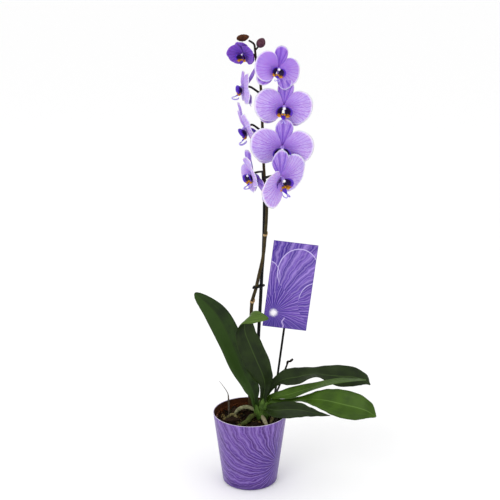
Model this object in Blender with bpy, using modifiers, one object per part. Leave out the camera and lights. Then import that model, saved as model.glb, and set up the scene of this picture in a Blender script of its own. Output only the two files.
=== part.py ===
"""A moth orchid in flower, standing in a plastic pot inside a printed cover pot.

Metres, +Z up.  The origin is the middle of the cover pot's base, the plant's
front faces -Y.  Plant points are given as (x, y, height above the bark), so
that the whole plant rises and sinks with the pot that holds it.
"""
import math

import bmesh
import bpy
from mathutils import Euler, Matrix, Vector

# --- driving dimensions -------------------------------------------------------
POT_HEIGHT = 0.125
POT_RIM_RADIUS = 0.0625
POT_BASE_RADIUS = 0.0462
POT_WALL = 0.0012
POT_FLOOR = 0.0015
POT_CORNER = 0.005
POT_STEPS = 36

GROW_POT_DROP = 0.009
GROW_POT_WALL = 0.0009
GROW_POT_LIP = 0.0022
GROW_POT_GAP = 0.0012
DRAIN_HOLE_RADIUS = 0.004
DRAIN_HOLE_RING = 0.024
DRAIN_HOLES = 5

BARK_DROP = 0.0157
BARK_LUMP = 0.0022
CHIP_SIZE = (0.024, 0.014, 0.006)

CROWN_RADIUS = 0.0095
CROWN_HEIGHT = 0.036
CROWN_PLACE = (0.022, 0.0)
TIP_SHARE = 0.98
TIP_ROUNDNESS = 9
LEAF_THICKNESS = 0.0018
ROOT_RADIUS = 0.0030

SPIKE_BASE_RADIUS = 0.0031
SPIKE_TIP_RADIUS = 0.0015
STAKE_RADIUS = 0.0026
CLIP_WIRE_RADIUS = 0.0009

PETAL_REACH = 0.049
PETAL_THICKNESS = 0.0008
PETAL_CURL = 2.0
SEPAL_SETBACK = 0.0026
FLOWER_HOLE = 0.0024
COLUMN_RADIUS = 0.0027
STALK_RADIUS = 0.0012
STALK_ARCH = 0.0020
BUD_RADIUS = 0.0073
WITHERED_BUD = (0.0056, 0.0056, 0.0095)   # half sizes of the dried bud at the tip

CARD_WIDTH = 0.074
CARD_HEIGHT = 0.150
CARD_THICKNESS = 0.0007
CARD_LEAN = math.radians(7.1)
CARD_CENTRE = (0.0668, 0.020, 0.2325)
CARD_STICK_RADIUS = 0.0017
HOOP_WIRE_RADIUS = 0.0006

CLEARANCE = 0.0003
WELD = 0.00002

# --- derived levels -----------------------------------------------------------
BARK_LEVEL = POT_HEIGHT - BARK_DROP
GROW_POT_RIM = POT_HEIGHT - GROW_POT_DROP
GROW_POT_FOOT = POT_FLOOR + CLEARANCE
STUCK_IN = BARK_LUMP + CLEARANCE

MODEL = "potted_orchid"
CUTTERS = "cutters"


# --- scene and material helpers -----------------------------------------------
def clear_scene():
    for item in list(bpy.data.objects):
        bpy.data.objects.remove(item, do_unlink=True)
    for name in (MODEL, CUTTERS):
        collection = bpy.data.collections.new(name)
        bpy.context.scene.collection.children.link(collection)


def material(name, colour, roughness=0.5, metallic=0.0):
    made = bpy.data.materials.get(name)
    if made is None:
        made = bpy.data.materials.new(name)
        made.use_nodes = True
        shader = made.node_tree.nodes["Principled BSDF"]
        shader.inputs["Base Color"].default_value = (*colour, 1.0)
        shader.inputs["Roughness"].default_value = roughness
        shader.inputs["Metallic"].default_value = metallic
    return made


def place(name, data, look, parent=None):
    """Link a new object that carries the data, with a material of its own."""
    item = bpy.data.objects.new(name, data)
    item.parent = parent
    bpy.data.collections[MODEL].objects.link(item)
    data.materials.append(material(name + "_finish", *look))
    return item


def mesh_from(bm, name, smooth=True):
    mesh = bpy.data.meshes.new(name)
    bm.to_mesh(mesh)
    bm.free()
    if smooth:
        mesh.shade_smooth()
        mesh.set_sharp_from_angle(angle=math.radians(40))
    return mesh


# --- shape helpers --------------------------------------------------------------
def on_bark(point):
    """A plant point, given by its height above the bark, in the model's frame."""
    return Vector((point[0], point[1], point[2] + BARK_LEVEL))


def route(points, count):
    """Evenly spaced points on a smooth curve through the given ones."""
    knots = [Vector(point) for point in points]
    knots = [2 * knots[0] - knots[1], *knots, 2 * knots[-1] - knots[-2]]
    spans = len(knots) - 3
    path = []
    for step in range(count):
        along = spans * step / (count - 1)
        first = min(int(along), spans - 1)
        t = along - first
        a, b, c, d = knots[first:first + 4]
        path.append(0.5 * (2 * b + (c - a) * t + (2 * a - 5 * b + 4 * c - d) * t * t
                           + (3 * b - a - 3 * c + d) * t ** 3))
    return path


def tube(name, path, radii, look, closed=False, sides_step=2):
    """A round stem along a path; its radius runs evenly through the given radii."""
    curve = bpy.data.curves.new(name, "CURVE")
    curve.dimensions = "3D"
    curve.bevel_depth = max(radii)
    curve.bevel_resolution = sides_step
    curve.use_fill_caps = not closed
    spline = curve.splines.new("POLY")
    spline.points.add(len(path) - 1)
    spline.use_cyclic_u = closed
    for index, point in enumerate(path):
        along = (len(radii) - 1) * index / (len(path) - 1)
        low = min(int(along), len(radii) - 1)
        high = min(low + 1, len(radii) - 1)
        radius = radii[low] + (radii[high] - radii[low]) * (along - low)
        spline.points[index].co = (*point, 1.0)
        spline.points[index].radius = radius / max(radii)
    return place(name, curve, look)


def sheet(name, columns, rows, shape, thickness, look, parent=None):
    """A thin blade: a grid bent by shape(across, along), then thickened."""
    bm = bmesh.new()
    bmesh.ops.create_grid(bm, x_segments=columns, y_segments=rows, size=0.5)
    for vert in bm.verts:
        vert.co = shape(vert.co.x + 0.5, vert.co.y + 0.5)
    bmesh.ops.remove_doubles(bm, verts=bm.verts, dist=WELD)
    item = place(name, mesh_from(bm, name), look, parent)
    wall = item.modifiers.new("thickness", "SOLIDIFY")
    wall.thickness = thickness
    wall.offset = 0.0
    return item


def turned(name, profile, steps, look):
    """A round piece: a profile (radius, height), outside first, swept about Z."""
    mesh = bpy.data.meshes.new(name)
    edges = [(i, i + 1) for i in range(len(profile) - 1)]
    mesh.from_pydata([(radius, 0.0, height) for radius, height in profile], edges, [])
    item = place(name, mesh, look)
    sweep = item.modifiers.new("sweep", "SCREW")
    sweep.steps = steps
    sweep.render_steps = steps
    sweep.use_merge_vertices = True
    sweep.merge_threshold = WELD
    return item


def solid_mesh(item):
    """Replace an object by one whose modifiers are part of its mesh."""
    bpy.context.view_layer.update()
    shaped = item.evaluated_get(bpy.context.evaluated_depsgraph_get())
    mesh = bpy.data.meshes.new_from_object(shaped)
    item.modifiers.clear()
    item.data = mesh
    return item


def ball(name, centre, radii, look, turn=(0.0, 0.0, 0.0), point=0.0):
    """A bud: a sphere stretched to its radii, drawn out to a point at its top."""
    bm = bmesh.new()
    bmesh.ops.create_uvsphere(bm, u_segments=14, v_segments=9, radius=1.0)
    for vert in bm.verts:
        pinch = 1.0 - point * max(vert.co.z, 0.0) ** 2
        vert.co.x *= radii[0] * pinch
        vert.co.y *= radii[1] * pinch
        vert.co.z *= radii[2]
    item = place(name, mesh_from(bm, name), look)
    item.location = centre
    item.rotation_euler = turn
    return item


# --- pots and bark ----------------------------------------------------------------
def cover_radius(height):
    """The cover pot's outer radius at a height."""
    return POT_BASE_RADIUS + (POT_RIM_RADIUS - POT_BASE_RADIUS) * height / POT_HEIGHT


def grow_radius(height):
    """The outer radius of the inner pot's wall at a height."""
    return cover_radius(height) - POT_WALL - GROW_POT_GAP - GROW_POT_LIP


def make_cover_pot():
    arc = [math.radians(90 * step / 3) for step in range(4)]
    corner = [(cover_radius(POT_CORNER) - POT_CORNER * (1 - math.cos(a)),
               POT_CORNER * (1 - math.sin(a))) for a in arc]
    inner_corner = [(radius - POT_WALL, height + POT_FLOOR) for radius, height in corner]
    profile = [(POT_RIM_RADIUS - POT_WALL, POT_HEIGHT), (POT_RIM_RADIUS, POT_HEIGHT)]
    profile += corner + [(0.0, 0.0), (0.0, POT_FLOOR)]
    profile += inner_corner[::-1] + [profile[0]]
    turned("pot_cover", profile, POT_STEPS, ((0.20, 0.10, 0.50), 0.35))


def make_grow_pot():
    rim, foot, shoulder = GROW_POT_RIM, GROW_POT_FOOT, GROW_POT_FOOT + POT_CORNER
    under_rim, inside = rim - GROW_POT_WALL, foot + GROW_POT_WALL
    bottom = grow_radius(shoulder) - POT_CORNER
    profile = [
        (grow_radius(rim) - GROW_POT_WALL, rim),
        (grow_radius(rim) + GROW_POT_LIP, rim),
        (grow_radius(rim) + GROW_POT_LIP, under_rim),
        (grow_radius(under_rim), under_rim),
        (grow_radius(shoulder), shoulder),
        (bottom, foot),
        (0.0, foot),
        (0.0, inside),
        (bottom - GROW_POT_WALL / 2, inside),
        (grow_radius(shoulder) - GROW_POT_WALL, shoulder + GROW_POT_WALL / 2),
        (grow_radius(rim) - GROW_POT_WALL, rim),
    ]
    pot = turned("grow_pot", profile, POT_STEPS, ((0.45, 0.45, 0.47), 0.25))
    bm = bmesh.new()
    for index in range(DRAIN_HOLES):
        turn = 2 * math.pi * index / DRAIN_HOLES
        spot = (DRAIN_HOLE_RING * math.cos(turn), DRAIN_HOLE_RING * math.sin(turn), GROW_POT_FOOT)
        bmesh.ops.create_cone(bm, cap_ends=True, segments=10, radius1=DRAIN_HOLE_RADIUS,
                              radius2=DRAIN_HOLE_RADIUS, depth=8 * GROW_POT_WALL,
                              matrix=Matrix.Translation(spot))
    drill = bpy.data.objects.new("drain_drill", mesh_from(bm, "drain_drill"))
    drill.hide_render = True
    drill.display_type = "WIRE"
    bpy.data.collections[CUTTERS].objects.link(drill)
    cut = pot.modifiers.new("drain_holes", "BOOLEAN")
    cut.operation = "DIFFERENCE"
    cut.solver = "EXACT"
    cut.object = drill


def bark_height(x, y):
    """How far the top of the bark stands above or below its mean level."""
    waves = math.sin(190 * x + 1.3) * math.cos(170 * y + 0.4)
    waves += math.sin(330 * y + 250 * x + 2.1) * 0.6
    return BARK_LUMP * waves / 1.6


def bark_radius(height):
    """The radius of the bark, which fills the inner pot with a little clearance."""
    return grow_radius(height) - GROW_POT_WALL - CLEARANCE


def make_bark():
    bottom = GROW_POT_FOOT + GROW_POT_WALL + CLEARANCE
    shoulder = bottom + POT_CORNER
    top = bark_radius(BARK_LEVEL - BARK_LUMP)
    rings = [top * share for share in (0.0, 0.25, 0.45, 0.63, 0.8, 0.92, 1.0)]
    profile = [(radius, BARK_LEVEL) for radius in rings]
    profile += [(bark_radius(shoulder), shoulder + POT_CORNER),
                (bark_radius(shoulder) - 2 * POT_CORNER, bottom), (0.0, bottom)]
    bark = solid_mesh(turned("bark_medium", profile, POT_STEPS, ((0.10, 0.06, 0.035), 0.9)))
    for vert in bark.data.vertices:
        if vert.co.z > BARK_LEVEL - BARK_LUMP:
            vert.co.z += bark_height(vert.co.x, vert.co.y)


def make_chips():
    """Loose chips of bark that lie on the top, turned every way."""
    spots = [(0.80, 205, 20), (0.78, 129, 10), (0.98, 282, 82), (1.0, 345, 95)]
    reach = bark_radius(BARK_LEVEL) - CHIP_SIZE[0] / 2 - BARK_LUMP
    for number, (share, bearing, turn) in enumerate(spots, 1):
        bm = bmesh.new()
        bmesh.ops.create_cube(bm, size=1.0)
        for vert in bm.verts:
            narrow = 0.72 if vert.co.x > 0 else 1.0
            vert.co.x *= CHIP_SIZE[0] * (1.0 if vert.co.z > 0 else 0.82)
            vert.co.y *= CHIP_SIZE[1] * narrow
            vert.co.z *= CHIP_SIZE[2]
        mesh = mesh_from(bm, f"bark_chip_{number}", smooth=False)
        chip = place(f"bark_chip_{number}", mesh, ((0.13, 0.075, 0.04), 0.9))
        angle = math.radians(bearing)
        lift = BARK_LEVEL + BARK_LUMP + CLEARANCE + CHIP_SIZE[2] / 2
        chip.location = (share * reach * math.cos(angle), share * reach * math.sin(angle), lift)
        chip.rotation_euler = (0.0, 0.0, math.radians(turn))
        bevel = chip.modifiers.new("worn_edges", "BEVEL")
        bevel.width = CHIP_SIZE[2] / 5
        bevel.segments = 1


# --- crown, roots and leaves --------------------------------------------------------
def make_crown():
    """The short stem that the leaves and roots grow from."""
    foot = BARK_LUMP + CLEARANCE
    shape = ((0.0, 1.0), (0.55, 0.97), (0.9, 0.8), (1.0, 0.5), (1.0, 0.2), (0.8, 0.0), (0.0, 0.0))
    profile = [(CROWN_RADIUS * width, foot + (CROWN_HEIGHT - foot) * up) for width, up in shape]
    crown = turned("crown", profile, 18, ((0.10, 0.17, 0.03), 0.5))
    crown.location = (*CROWN_PLACE, BARK_LEVEL)


def crown_side(bearing, height, gap):
    """A point beside the crown, at a bearing from +X, given above the bark."""
    angle = math.radians(bearing)
    reach = CROWN_RADIUS + gap
    return (CROWN_PLACE[0] + reach * math.cos(angle),
            CROWN_PLACE[1] + reach * math.sin(angle), height)


def blade_width(along, shares):
    """A leaf's width, as a share of its widest: evenly spaced shares, rounded off at the tip."""
    place = along * (len(shares) - 1)
    low = min(int(place), len(shares) - 2)
    width = shares[low] + (shares[low + 1] - shares[low]) * (place - low)
    return width * math.sqrt(1.0 - (TIP_SHARE * along) ** TIP_ROUNDNESS)


def make_leaf(name, spine, across, half_width, fold, look, shares):
    """A strap leaf: its spine, the way its width points along it, its fold and its outline."""
    rows = 12
    middle = [on_bark(point) for point in route(spine, rows + 1)]
    sideways = [side.normalized() for side in route(across, rows + 1)]

    def blade(u, v):
        index = round(v * rows)
        before, after = middle[max(index - 1, 0)], middle[min(index + 1, rows)]
        tangent = (after - before).normalized()
        side = sideways[index] - tangent * sideways[index].dot(tangent)
        side.normalize()
        upward = side.cross(tangent)
        share = 2 * u - 1
        reach = half_width * blade_width(v, shares)
        rise = math.radians(fold) * (1.0 - 0.45 * v)
        return (middle[index] + side * (share * reach * math.cos(rise))
                + upward * (abs(share) * reach * math.sin(rise)))

    sheet(name, 4, rows, blade, LEAF_THICKNESS, look)


def make_leaves():
    gap = LEAF_THICKNESS + 0.002
    leaf_green = ((0.035, 0.10, 0.012), 0.4)
    top = CROWN_HEIGHT + LEAF_THICKNESS
    make_leaf(
        "leaf_tall_left",
        [crown_side(180, 0.031, gap), (0.0045, 0.004, 0.053), (-0.0110, 0.010, 0.0875),
         (-0.0325, 0.015, 0.1400), (-0.0570, 0.017, 0.1860), (-0.0910, 0.011, 0.2235)],
        [(0.75, 0.10, 0.60), (0.80, 0.10, 0.55), (0.84, 0.05, 0.54), (0.88, 0.0, 0.47),
         (0.80, 0.0, 0.60), (0.70, 0.0, 0.71)], 0.0235, 30, leaf_green,
        (0.16, 0.68, 0.98, 0.95, 0.50))
    make_leaf(
        "leaf_folded",
        [(CROWN_PLACE[0], CROWN_PLACE[1] - 0.001, top), (0.0253, -0.003, 0.0648),
         (0.0208, -0.009, 0.0875), (0.0112, -0.014, 0.1125), (0.0005, -0.017, 0.1405),
         (-0.0085, -0.019, 0.1665), (-0.0070, -0.028, 0.1890), (0.0081, -0.038, 0.1985),
         (0.0298, -0.048, 0.1985)],
        [(1.0, -0.1, 0.0), (1.0, -0.1, 0.0), (0.95, -0.1, 0.2), (0.9, 0.0, 0.35),
         (0.9, 0.0, 0.35), (0.9, 0.1, 0.4), (0.75, 0.45, 0.5), (0.4, 0.35, 0.85),
         (0.25, 0.30, 0.92)], 0.0225, 20, leaf_green,
        (0.20, 0.45, 0.85, 1.00, 0.95, 0.80, 0.62, 0.62, 0.45))
    make_leaf(
        "leaf_right_back",
        [crown_side(42, 0.041, gap), (0.0475, 0.016, 0.0615), (0.0629, 0.018, 0.0675),
         (0.0800, 0.020, 0.0694), (0.0955, 0.024, 0.0718), (0.1127, 0.027, 0.0721),
         (0.1318, 0.030, 0.0690), (0.1541, 0.031, 0.0667), (0.1747, 0.031, 0.0657),
         (0.1934, 0.028, 0.0620), (0.2057, 0.024, 0.0541)],
        [(0.2, -0.85, -0.5), (0.2, -0.80, -0.6), (0.1, -0.78, -0.62), (0.0, -0.84, -0.54),
         (0.0, -0.94, -0.34), (0.0, -0.98, -0.18), (0.0, -0.85, -0.52), (0.05, -0.6, -0.8),
         (0.2, -0.55, -0.8), (0.3, -0.55, -0.75), (0.4, -0.6, -0.6)], 0.0205, 20, leaf_green,
        (0.25, 0.45, 0.74, 0.85, 0.82, 0.80, 0.90, 1.00, 0.98, 0.75, 0.40))
    make_leaf(
        "leaf_right_edge",
        [crown_side(5, 0.0372, gap), (0.0500, -0.006, 0.0452), (0.0700, -0.008, 0.0510),
         (0.0900, -0.007, 0.0570), (0.1100, -0.008, 0.0630), (0.1342, -0.008, 0.0700),
         (0.1560, -0.006, 0.0738), (0.1766, -0.002, 0.0742), (0.1956, 0.002, 0.0725)],
        [(0.0, -0.90, -0.42), (0.0, -0.90, -0.42), (0.0, -0.91, -0.40), (0.0, -0.96, -0.25),
         (0.0, -1.00, 0.00), (0.0, -0.99, 0.10), (0.0, -0.99, 0.10), (0.0, -0.99, 0.12),
         (0.0, -0.98, 0.15)], 0.0150, 14, leaf_green,
        (0.30, 0.50, 0.80, 0.85, 0.95, 1.00, 1.00, 0.85, 0.45))
    make_leaf(
        "leaf_right_front",
        [crown_side(-28, 0.031, gap), (0.0588, -0.014, 0.0375), (0.0821, -0.018, 0.0440),
         (0.0969, -0.022, 0.0466), (0.1116, -0.028, 0.0490), (0.1277, -0.036, 0.0505),
         (0.1436, -0.045, 0.0505), (0.1594, -0.054, 0.0500), (0.1752, -0.061, 0.0490),
         (0.1909, -0.068, 0.0462), (0.2052, -0.074, 0.0387)],
        [(-0.1, -1.0, -0.1), (-0.1, -1.0, -0.1), (0.0, -1.0, -0.1), (0.0, -0.95, -0.3),
         (0.0, -0.85, -0.5), (0.05, -0.78, -0.62), (0.1, -0.72, -0.7), (0.1, -0.7, -0.7),
         (0.2, -0.65, -0.7), (0.25, -0.62, -0.7), (0.3, -0.6, -0.7)], 0.0255, 18,
        ((0.06, 0.16, 0.02), 0.4), (0.15, 0.28, 0.36, 0.48, 0.64, 0.80, 0.93, 1.00, 1.00, 0.88, 0.50))
    make_leaf(
        "leaf_right_low",
        [crown_side(-62, 0.024, gap), (0.0435, -0.026, 0.0290), (0.0633, -0.033, 0.0335),
         (0.0831, -0.038, 0.0350), (0.0995, -0.043, 0.0335), (0.1159, -0.047, 0.0315),
         (0.1330, -0.050, 0.0300)],
        [(-0.5, -0.6, -0.6), (-0.2, -0.45, -0.87), (0.0, -0.35, -0.93), (0.0, -0.35, -0.93),
         (0.0, -0.45, -0.88), (0.0, -0.6, -0.8), (0.0, -0.6, -0.8)], 0.0150, 18,
        ((0.025, 0.07, 0.010), 0.4), (0.35, 0.90, 1.00, 0.85, 0.55, 0.30, 0.15))


def make_roots():
    root_green = ((0.22, 0.23, 0.16), 0.8)
    level = BARK_LUMP + CLEARANCE + ROOT_RADIUS
    gap = ROOT_RADIUS + 0.002
    roots = {
        "root_arch": [crown_side(172, 0.017, gap), (-0.004, 0.008, 0.020),
                      (-0.018, 0.010, 0.016), (-0.028, 0.006, level)],
        "root_front": [crown_side(205, 0.012, gap), (0.001, -0.015, 0.012),
                       (-0.006, -0.026, 0.008), (-0.020, -0.035, level)],
        "root_low": [crown_side(265, 0.012, gap), (0.024, -0.028, 0.012), (0.029, -0.040, level)],
        "root_back": [crown_side(95, 0.012, gap), (0.020, 0.026, 0.012),
                      (0.020, 0.038, 0.008), (0.006, 0.0475, level)],
    }
    for name, points in roots.items():
        path = [on_bark(point) for point in route(points, 9)]
        tube(name, path, [ROOT_RADIUS * 0.8, ROOT_RADIUS, ROOT_RADIUS * 0.55], root_green)
    dry = [(-0.036, 0.012, STUCK_IN + 0.001), (-0.0365, 0.012, 0.030), (-0.038, 0.012, 0.044),
           (-0.045, 0.012, 0.056), (-0.052, 0.012, 0.066)]
    path = [on_bark(point) for point in route(dry, 12)]
    tube("dry_root", path, [0.0016, 0.0014, 0.0006, 0.0005, 0.0004], ((0.12, 0.09, 0.06), 0.9))


# --- flower spike and what holds it ---------------------------------------------------
SPIKE_POINTS = [
    (0.0020, 0.022, 0.006), (-0.0005, 0.0265, 0.034), (0.0000, 0.0250, 0.098),
    (0.0017, 0.018, 0.173), (0.0035, 0.014, 0.206), (0.0099, 0.012, 0.231),
    (0.0148, 0.010, 0.2545), (0.0197, 0.010, 0.277), (0.0229, 0.010, 0.297),
    (0.0250, 0.010, 0.323), (0.0268, 0.010, 0.352), (0.0268, 0.010, 0.381),
    (0.0225, 0.008, 0.431), (0.0193, 0.006, 0.512), (0.0168, 0.004, 0.566),
    (0.0141, 0.002, 0.5835), (0.0101, 0.000, 0.602), (0.0080, 0.000, 0.620),
    (0.0062, 0.000, 0.631), (-0.0020, 0.000, 0.637),
]
STAKE_POINTS = [
    (0.0103, 0.0300, 0.004), (0.0119, 0.0255, 0.081), (0.0145, 0.0215, 0.1475),
    (0.0175, 0.0190, 0.2085), (0.0199, 0.0185, 0.2607), (0.0222, 0.0185, 0.295),
    (0.0236, 0.0185, 0.380), (0.0212, 0.0185, 0.424),
]
CLIP_HEIGHT = 0.2335


def at_height(path, height):
    """The point of a rising path at a height."""
    for low, high in zip(path, path[1:]):
        if low.z <= height < high.z:
            return low.lerp(high, (height - low.z) / (high.z - low.z))
    return path[-1]


def make_spike_and_stake():
    spike = route(SPIKE_POINTS, 58)
    stake = route(STAKE_POINTS, 14)
    tube("flower_spike", [on_bark(point) for point in spike],
         [SPIKE_BASE_RADIUS, SPIKE_BASE_RADIUS * 0.9, SPIKE_BASE_RADIUS * 0.75, SPIKE_TIP_RADIUS],
         ((0.10, 0.09, 0.04), 0.45))
    tube("stake", [on_bark(point) for point in stake], [STAKE_RADIUS, STAKE_RADIUS],
         ((0.01, 0.01, 0.01), 0.4))
    ends = [on_bark(at_height(path, CLIP_HEIGHT)) for path in (spike, stake)]
    along = (ends[1] - ends[0]).normalized()
    beside = Vector((0.0, 0.0, 1.0)).cross(along)
    reach = [radius + CLIP_WIRE_RADIUS + 2 * CLEARANCE
             for radius in (SPIKE_BASE_RADIUS, STAKE_RADIUS)]
    loop = []
    for end, radius, start in ((0, reach[0], 90), (1, reach[1], -90)):
        for step in range(7):
            turn = math.radians(start + 30 * step)
            loop.append(ends[end] + radius * (along * math.cos(turn) + beside * math.sin(turn)))
    tube("stake_clip", loop, [CLIP_WIRE_RADIUS, CLIP_WIRE_RADIUS], ((0.01, 0.01, 0.01), 0.4),
         closed=True)


def make_cut_spike():
    """The stub of an older spike, cut off short."""
    points = [(0.031, 0.038, 0.006), (0.048, 0.038, 0.040), (0.0580, 0.036, 0.070),
              (0.0635, 0.036, 0.0885), (0.0680, 0.036, 0.0935), (0.0727, 0.036, 0.099)]
    path = [on_bark(point) for point in route(points, 12)]
    tube("cut_spike", path, [0.0016, 0.0016, 0.0020, 0.0016], ((0.05, 0.03, 0.02), 0.8))


def make_card():
    bm = bmesh.new()
    bmesh.ops.create_cube(bm, size=1.0)
    bmesh.ops.scale(bm, vec=(CARD_WIDTH, CARD_THICKNESS, CARD_HEIGHT), verts=bm.verts)
    card = place("card", mesh_from(bm, "card", smooth=False), ((0.22, 0.12, 0.60), 0.35))
    card.location = on_bark(CARD_CENTRE)
    card.rotation_euler = (0.0, CARD_LEAN, 0.0)

    behind = CARD_CENTRE[1] + CARD_THICKNESS / 2 + CARD_STICK_RADIUS + CLEARANCE
    down = Vector((-math.sin(CARD_LEAN), 0.0, -math.cos(CARD_LEAN)))
    middle = Vector((CARD_CENTRE[0], behind, CARD_CENTRE[2]))
    below = middle + down * (CARD_HEIGHT / 2 + 0.006)
    path = [on_bark(point) for point in (middle, below, Vector((0.0395, 0.034, 0.005)))]
    tube("card_stick", path, [CARD_STICK_RADIUS, CARD_STICK_RADIUS], ((0.01, 0.01, 0.01), 0.4))


def make_hoop():
    points = [(0.0266, 0.028, 0.004), (0.0270, 0.028, 0.035), (0.0282, 0.028, 0.055),
              (0.0325, 0.027, 0.0630), (0.0380, 0.026, 0.0650), (0.0425, 0.025, 0.0600),
              (0.0440, 0.0245, 0.0500), (0.0440, 0.0245, 0.030), (0.0435, 0.0245, 0.004)]
    path = [on_bark(point) for point in route(points, 18)]
    tube("wire_hoop", path, [HOOP_WIRE_RADIUS, HOOP_WIRE_RADIUS], ((0.03, 0.03, 0.03), 0.4),
         sides_step=1)


# --- flowers ------------------------------------------------------------------------
# Column place, yaw, pitch and roll in degrees, size, cup, and where the stalk leaves the spike.
FLOWERS = {
    "flower_1": ((0.0420, -0.055, 0.5990), (26, -4, 17), 0.78, 1.0, 0.590),
    "flower_2": ((0.0520, -0.038, 0.5400), (4, 8, 6), 0.94, 1.0, 0.530),
    "flower_3": ((0.0500, -0.036, 0.4765), (0, 14, 6), 1.03, 1.0, 0.468),
    "flower_4": ((0.0490, -0.076, 0.4370), (44, 12, -12), 1.07, 1.0, 0.418),
    "flower_5": ((-0.0095, 0.030, 0.5610), (-82, 0, 0), 0.84, 1.0, 0.553),
    "flower_6": ((-0.0058, 0.030, 0.4960), (-80, 26, 0), 0.95, 1.0, 0.492),
    "flower_7": ((0.0010, 0.033, 0.4210), (-72, 12, 0), 0.86, 1.0, 0.428),
    "flower_8": ((-0.0110, 0.004, 0.6166), (-26, 18, 0), 0.47, 9.0, 0.612),
}
# Lobes: bearing from the flower's right, spread above and below it, and length.
PETALS = [(3, 78, 68, 1.00), (177, 68, 78, 1.00)]
SEPALS = [(90, 34, 34, 0.92), (221, 32, 32, 0.92), (319, 32, 32, 0.92)]
CUPPED_SEPALS = [(90, 58, 58, 0.95), (210, 58, 58, 0.95), (330, 58, 58, 0.95)]


def lobed_disc(lobes, spokes, size, setback, curl, blunt):
    """A shape for sheet(): broad lobes about a hole, bent back towards their ends."""
    hole = FLOWER_HOLE
    collar = hole + 0.0022

    def shape(u, v):
        turn = u * len(lobes) % len(lobes)
        bearing, before, after, length = lobes[int(turn)]
        within = (turn - int(turn)) * spokes / (spokes - 1)
        side = math.sin(math.pi * (min(within, 1.0) - 0.5))
        angle = math.radians(bearing + side * (after if side > 0 else before))
        end = collar + (length * PETAL_REACH * size - collar) * math.cos(math.pi / 2 * side) ** blunt
        radius = hole + (end - hole) * v
        return Vector((radius * math.cos(angle), setback + curl * radius * radius,
                       radius * math.sin(angle)))

    return shape


def lip_shape(size):
    """A shape for sheet(): a scoop with raised side lobes and a narrow tip."""
    def shape(u, v):
        share = 2 * u - 1
        half = (0.0100 * (1 - v) ** 0.6 + 0.0012) * size
        rise = 0.0110 * (1 - v) ** 1.5 * share * share
        forward = 0.0035 + 0.011 * math.sin(math.pi / 2 * v) + 0.005 * (1 - v) * share * share
        return Vector((share * half, -forward * size, (-0.0058 - 0.017 * v + rise) * size))

    return shape


def make_flower(name, spot, turns, size, cup, stalk_height, spike):
    yaw, pitch, roll = (math.radians(angle) for angle in turns)
    facing = Euler((0, 0, yaw)).to_matrix() @ Euler((pitch, 0, 0)).to_matrix()
    facing = facing @ Euler((0, roll, 0)).to_matrix()
    centre = bpy.data.objects.new(name + "_centre", None)
    bpy.data.collections[MODEL].objects.link(centre)
    centre.matrix_world = Matrix.Translation(on_bark(spot)) @ facing.to_4x4()

    half_open = cup > 1.0
    curl = -PETAL_CURL * cup if half_open else PETAL_CURL
    lilac = ((0.42, 0.26, 0.80), 0.5)
    violet = ((0.16, 0.05, 0.45), 0.4)
    sepals = CUPPED_SEPALS if half_open else SEPALS
    sheet(name + "_sepals", 21, 3, lobed_disc(sepals, 7, size, SEPAL_SETBACK, curl, 0.35),
          PETAL_THICKNESS, lilac, centre)
    sheet(name + "_petals", 22, 3, lobed_disc(PETALS, 11, size, 0.0, curl, 0.38),
          PETAL_THICKNESS, lilac, centre)
    if not half_open:
        sheet(name + "_lip", 6, 4, lip_shape(size), PETAL_THICKNESS, violet, centre)

    root = at_height(spike, stalk_height)
    back = Vector(spot) + facing @ Vector((0.0, 0.016, 0.0))
    towards = (back - root).normalized()
    start = root + towards * (SPIKE_BASE_RADIUS * 0.9 + STALK_RADIUS + CLEARANCE)
    bend = (start + back) / 2 + Vector((0.0, 0.0, STALK_ARCH))
    local = [(0.0, 0.007, 0.0), (0.0, 0.001, 0.0), (0.0, -0.004, 0.0), (0.0, -0.0085, -0.0015)]
    points = [start, bend, back] + [Vector(spot) + facing @ Vector(point) for point in local]
    path = [on_bark(point) for point in points]
    radii = [STALK_RADIUS, STALK_RADIUS, STALK_RADIUS, 0.0015, 0.0015, COLUMN_RADIUS,
             COLUMN_RADIUS * 0.8]
    tube(name + "_column", path, radii, ((0.62, 0.55, 0.66), 0.5))


def make_flowers():
    spike = route(SPIKE_POINTS, 58)
    for name, (spot, turns, size, cup, stalk_height) in FLOWERS.items():
        make_flower(name, spot, turns, size, cup, stalk_height, spike)


def make_buds():
    purple = ((0.16, 0.08, 0.14), 0.6)
    ball("top_bud", on_bark((0.0168, -0.002, 0.6335)), (BUD_RADIUS, BUD_RADIUS, BUD_RADIUS * 1.12),
         purple, turn=(0.0, math.radians(35), 0.0), point=0.25)
    ball("brown_bud", on_bark((-0.0110, 0.000, 0.6412)), WITHERED_BUD,
         ((0.10, 0.05, 0.03), 0.8), turn=(0.0, math.radians(80), 0.0), point=0.45)


def main():
    clear_scene()
    make_cover_pot()
    make_grow_pot()
    make_bark()
    make_chips()
    make_crown()
    make_leaves()
    make_roots()
    make_spike_and_stake()
    make_cut_spike()
    make_card()
    make_hoop()
    make_flowers()
    make_buds()


main()
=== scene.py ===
# %% [markdown]
# # A moth orchid in its printed cover pot
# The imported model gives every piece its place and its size. This lesson adds the looks: soft petals with
# fanned veins, leathery leaves, a bed of bark, a printed pot and card. Each cell makes one thing and says
# what it made.

# %% Load the fixed model
import math
import random

import bmesh
import bpy
from mathutils import Euler, Matrix, Vector


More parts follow.
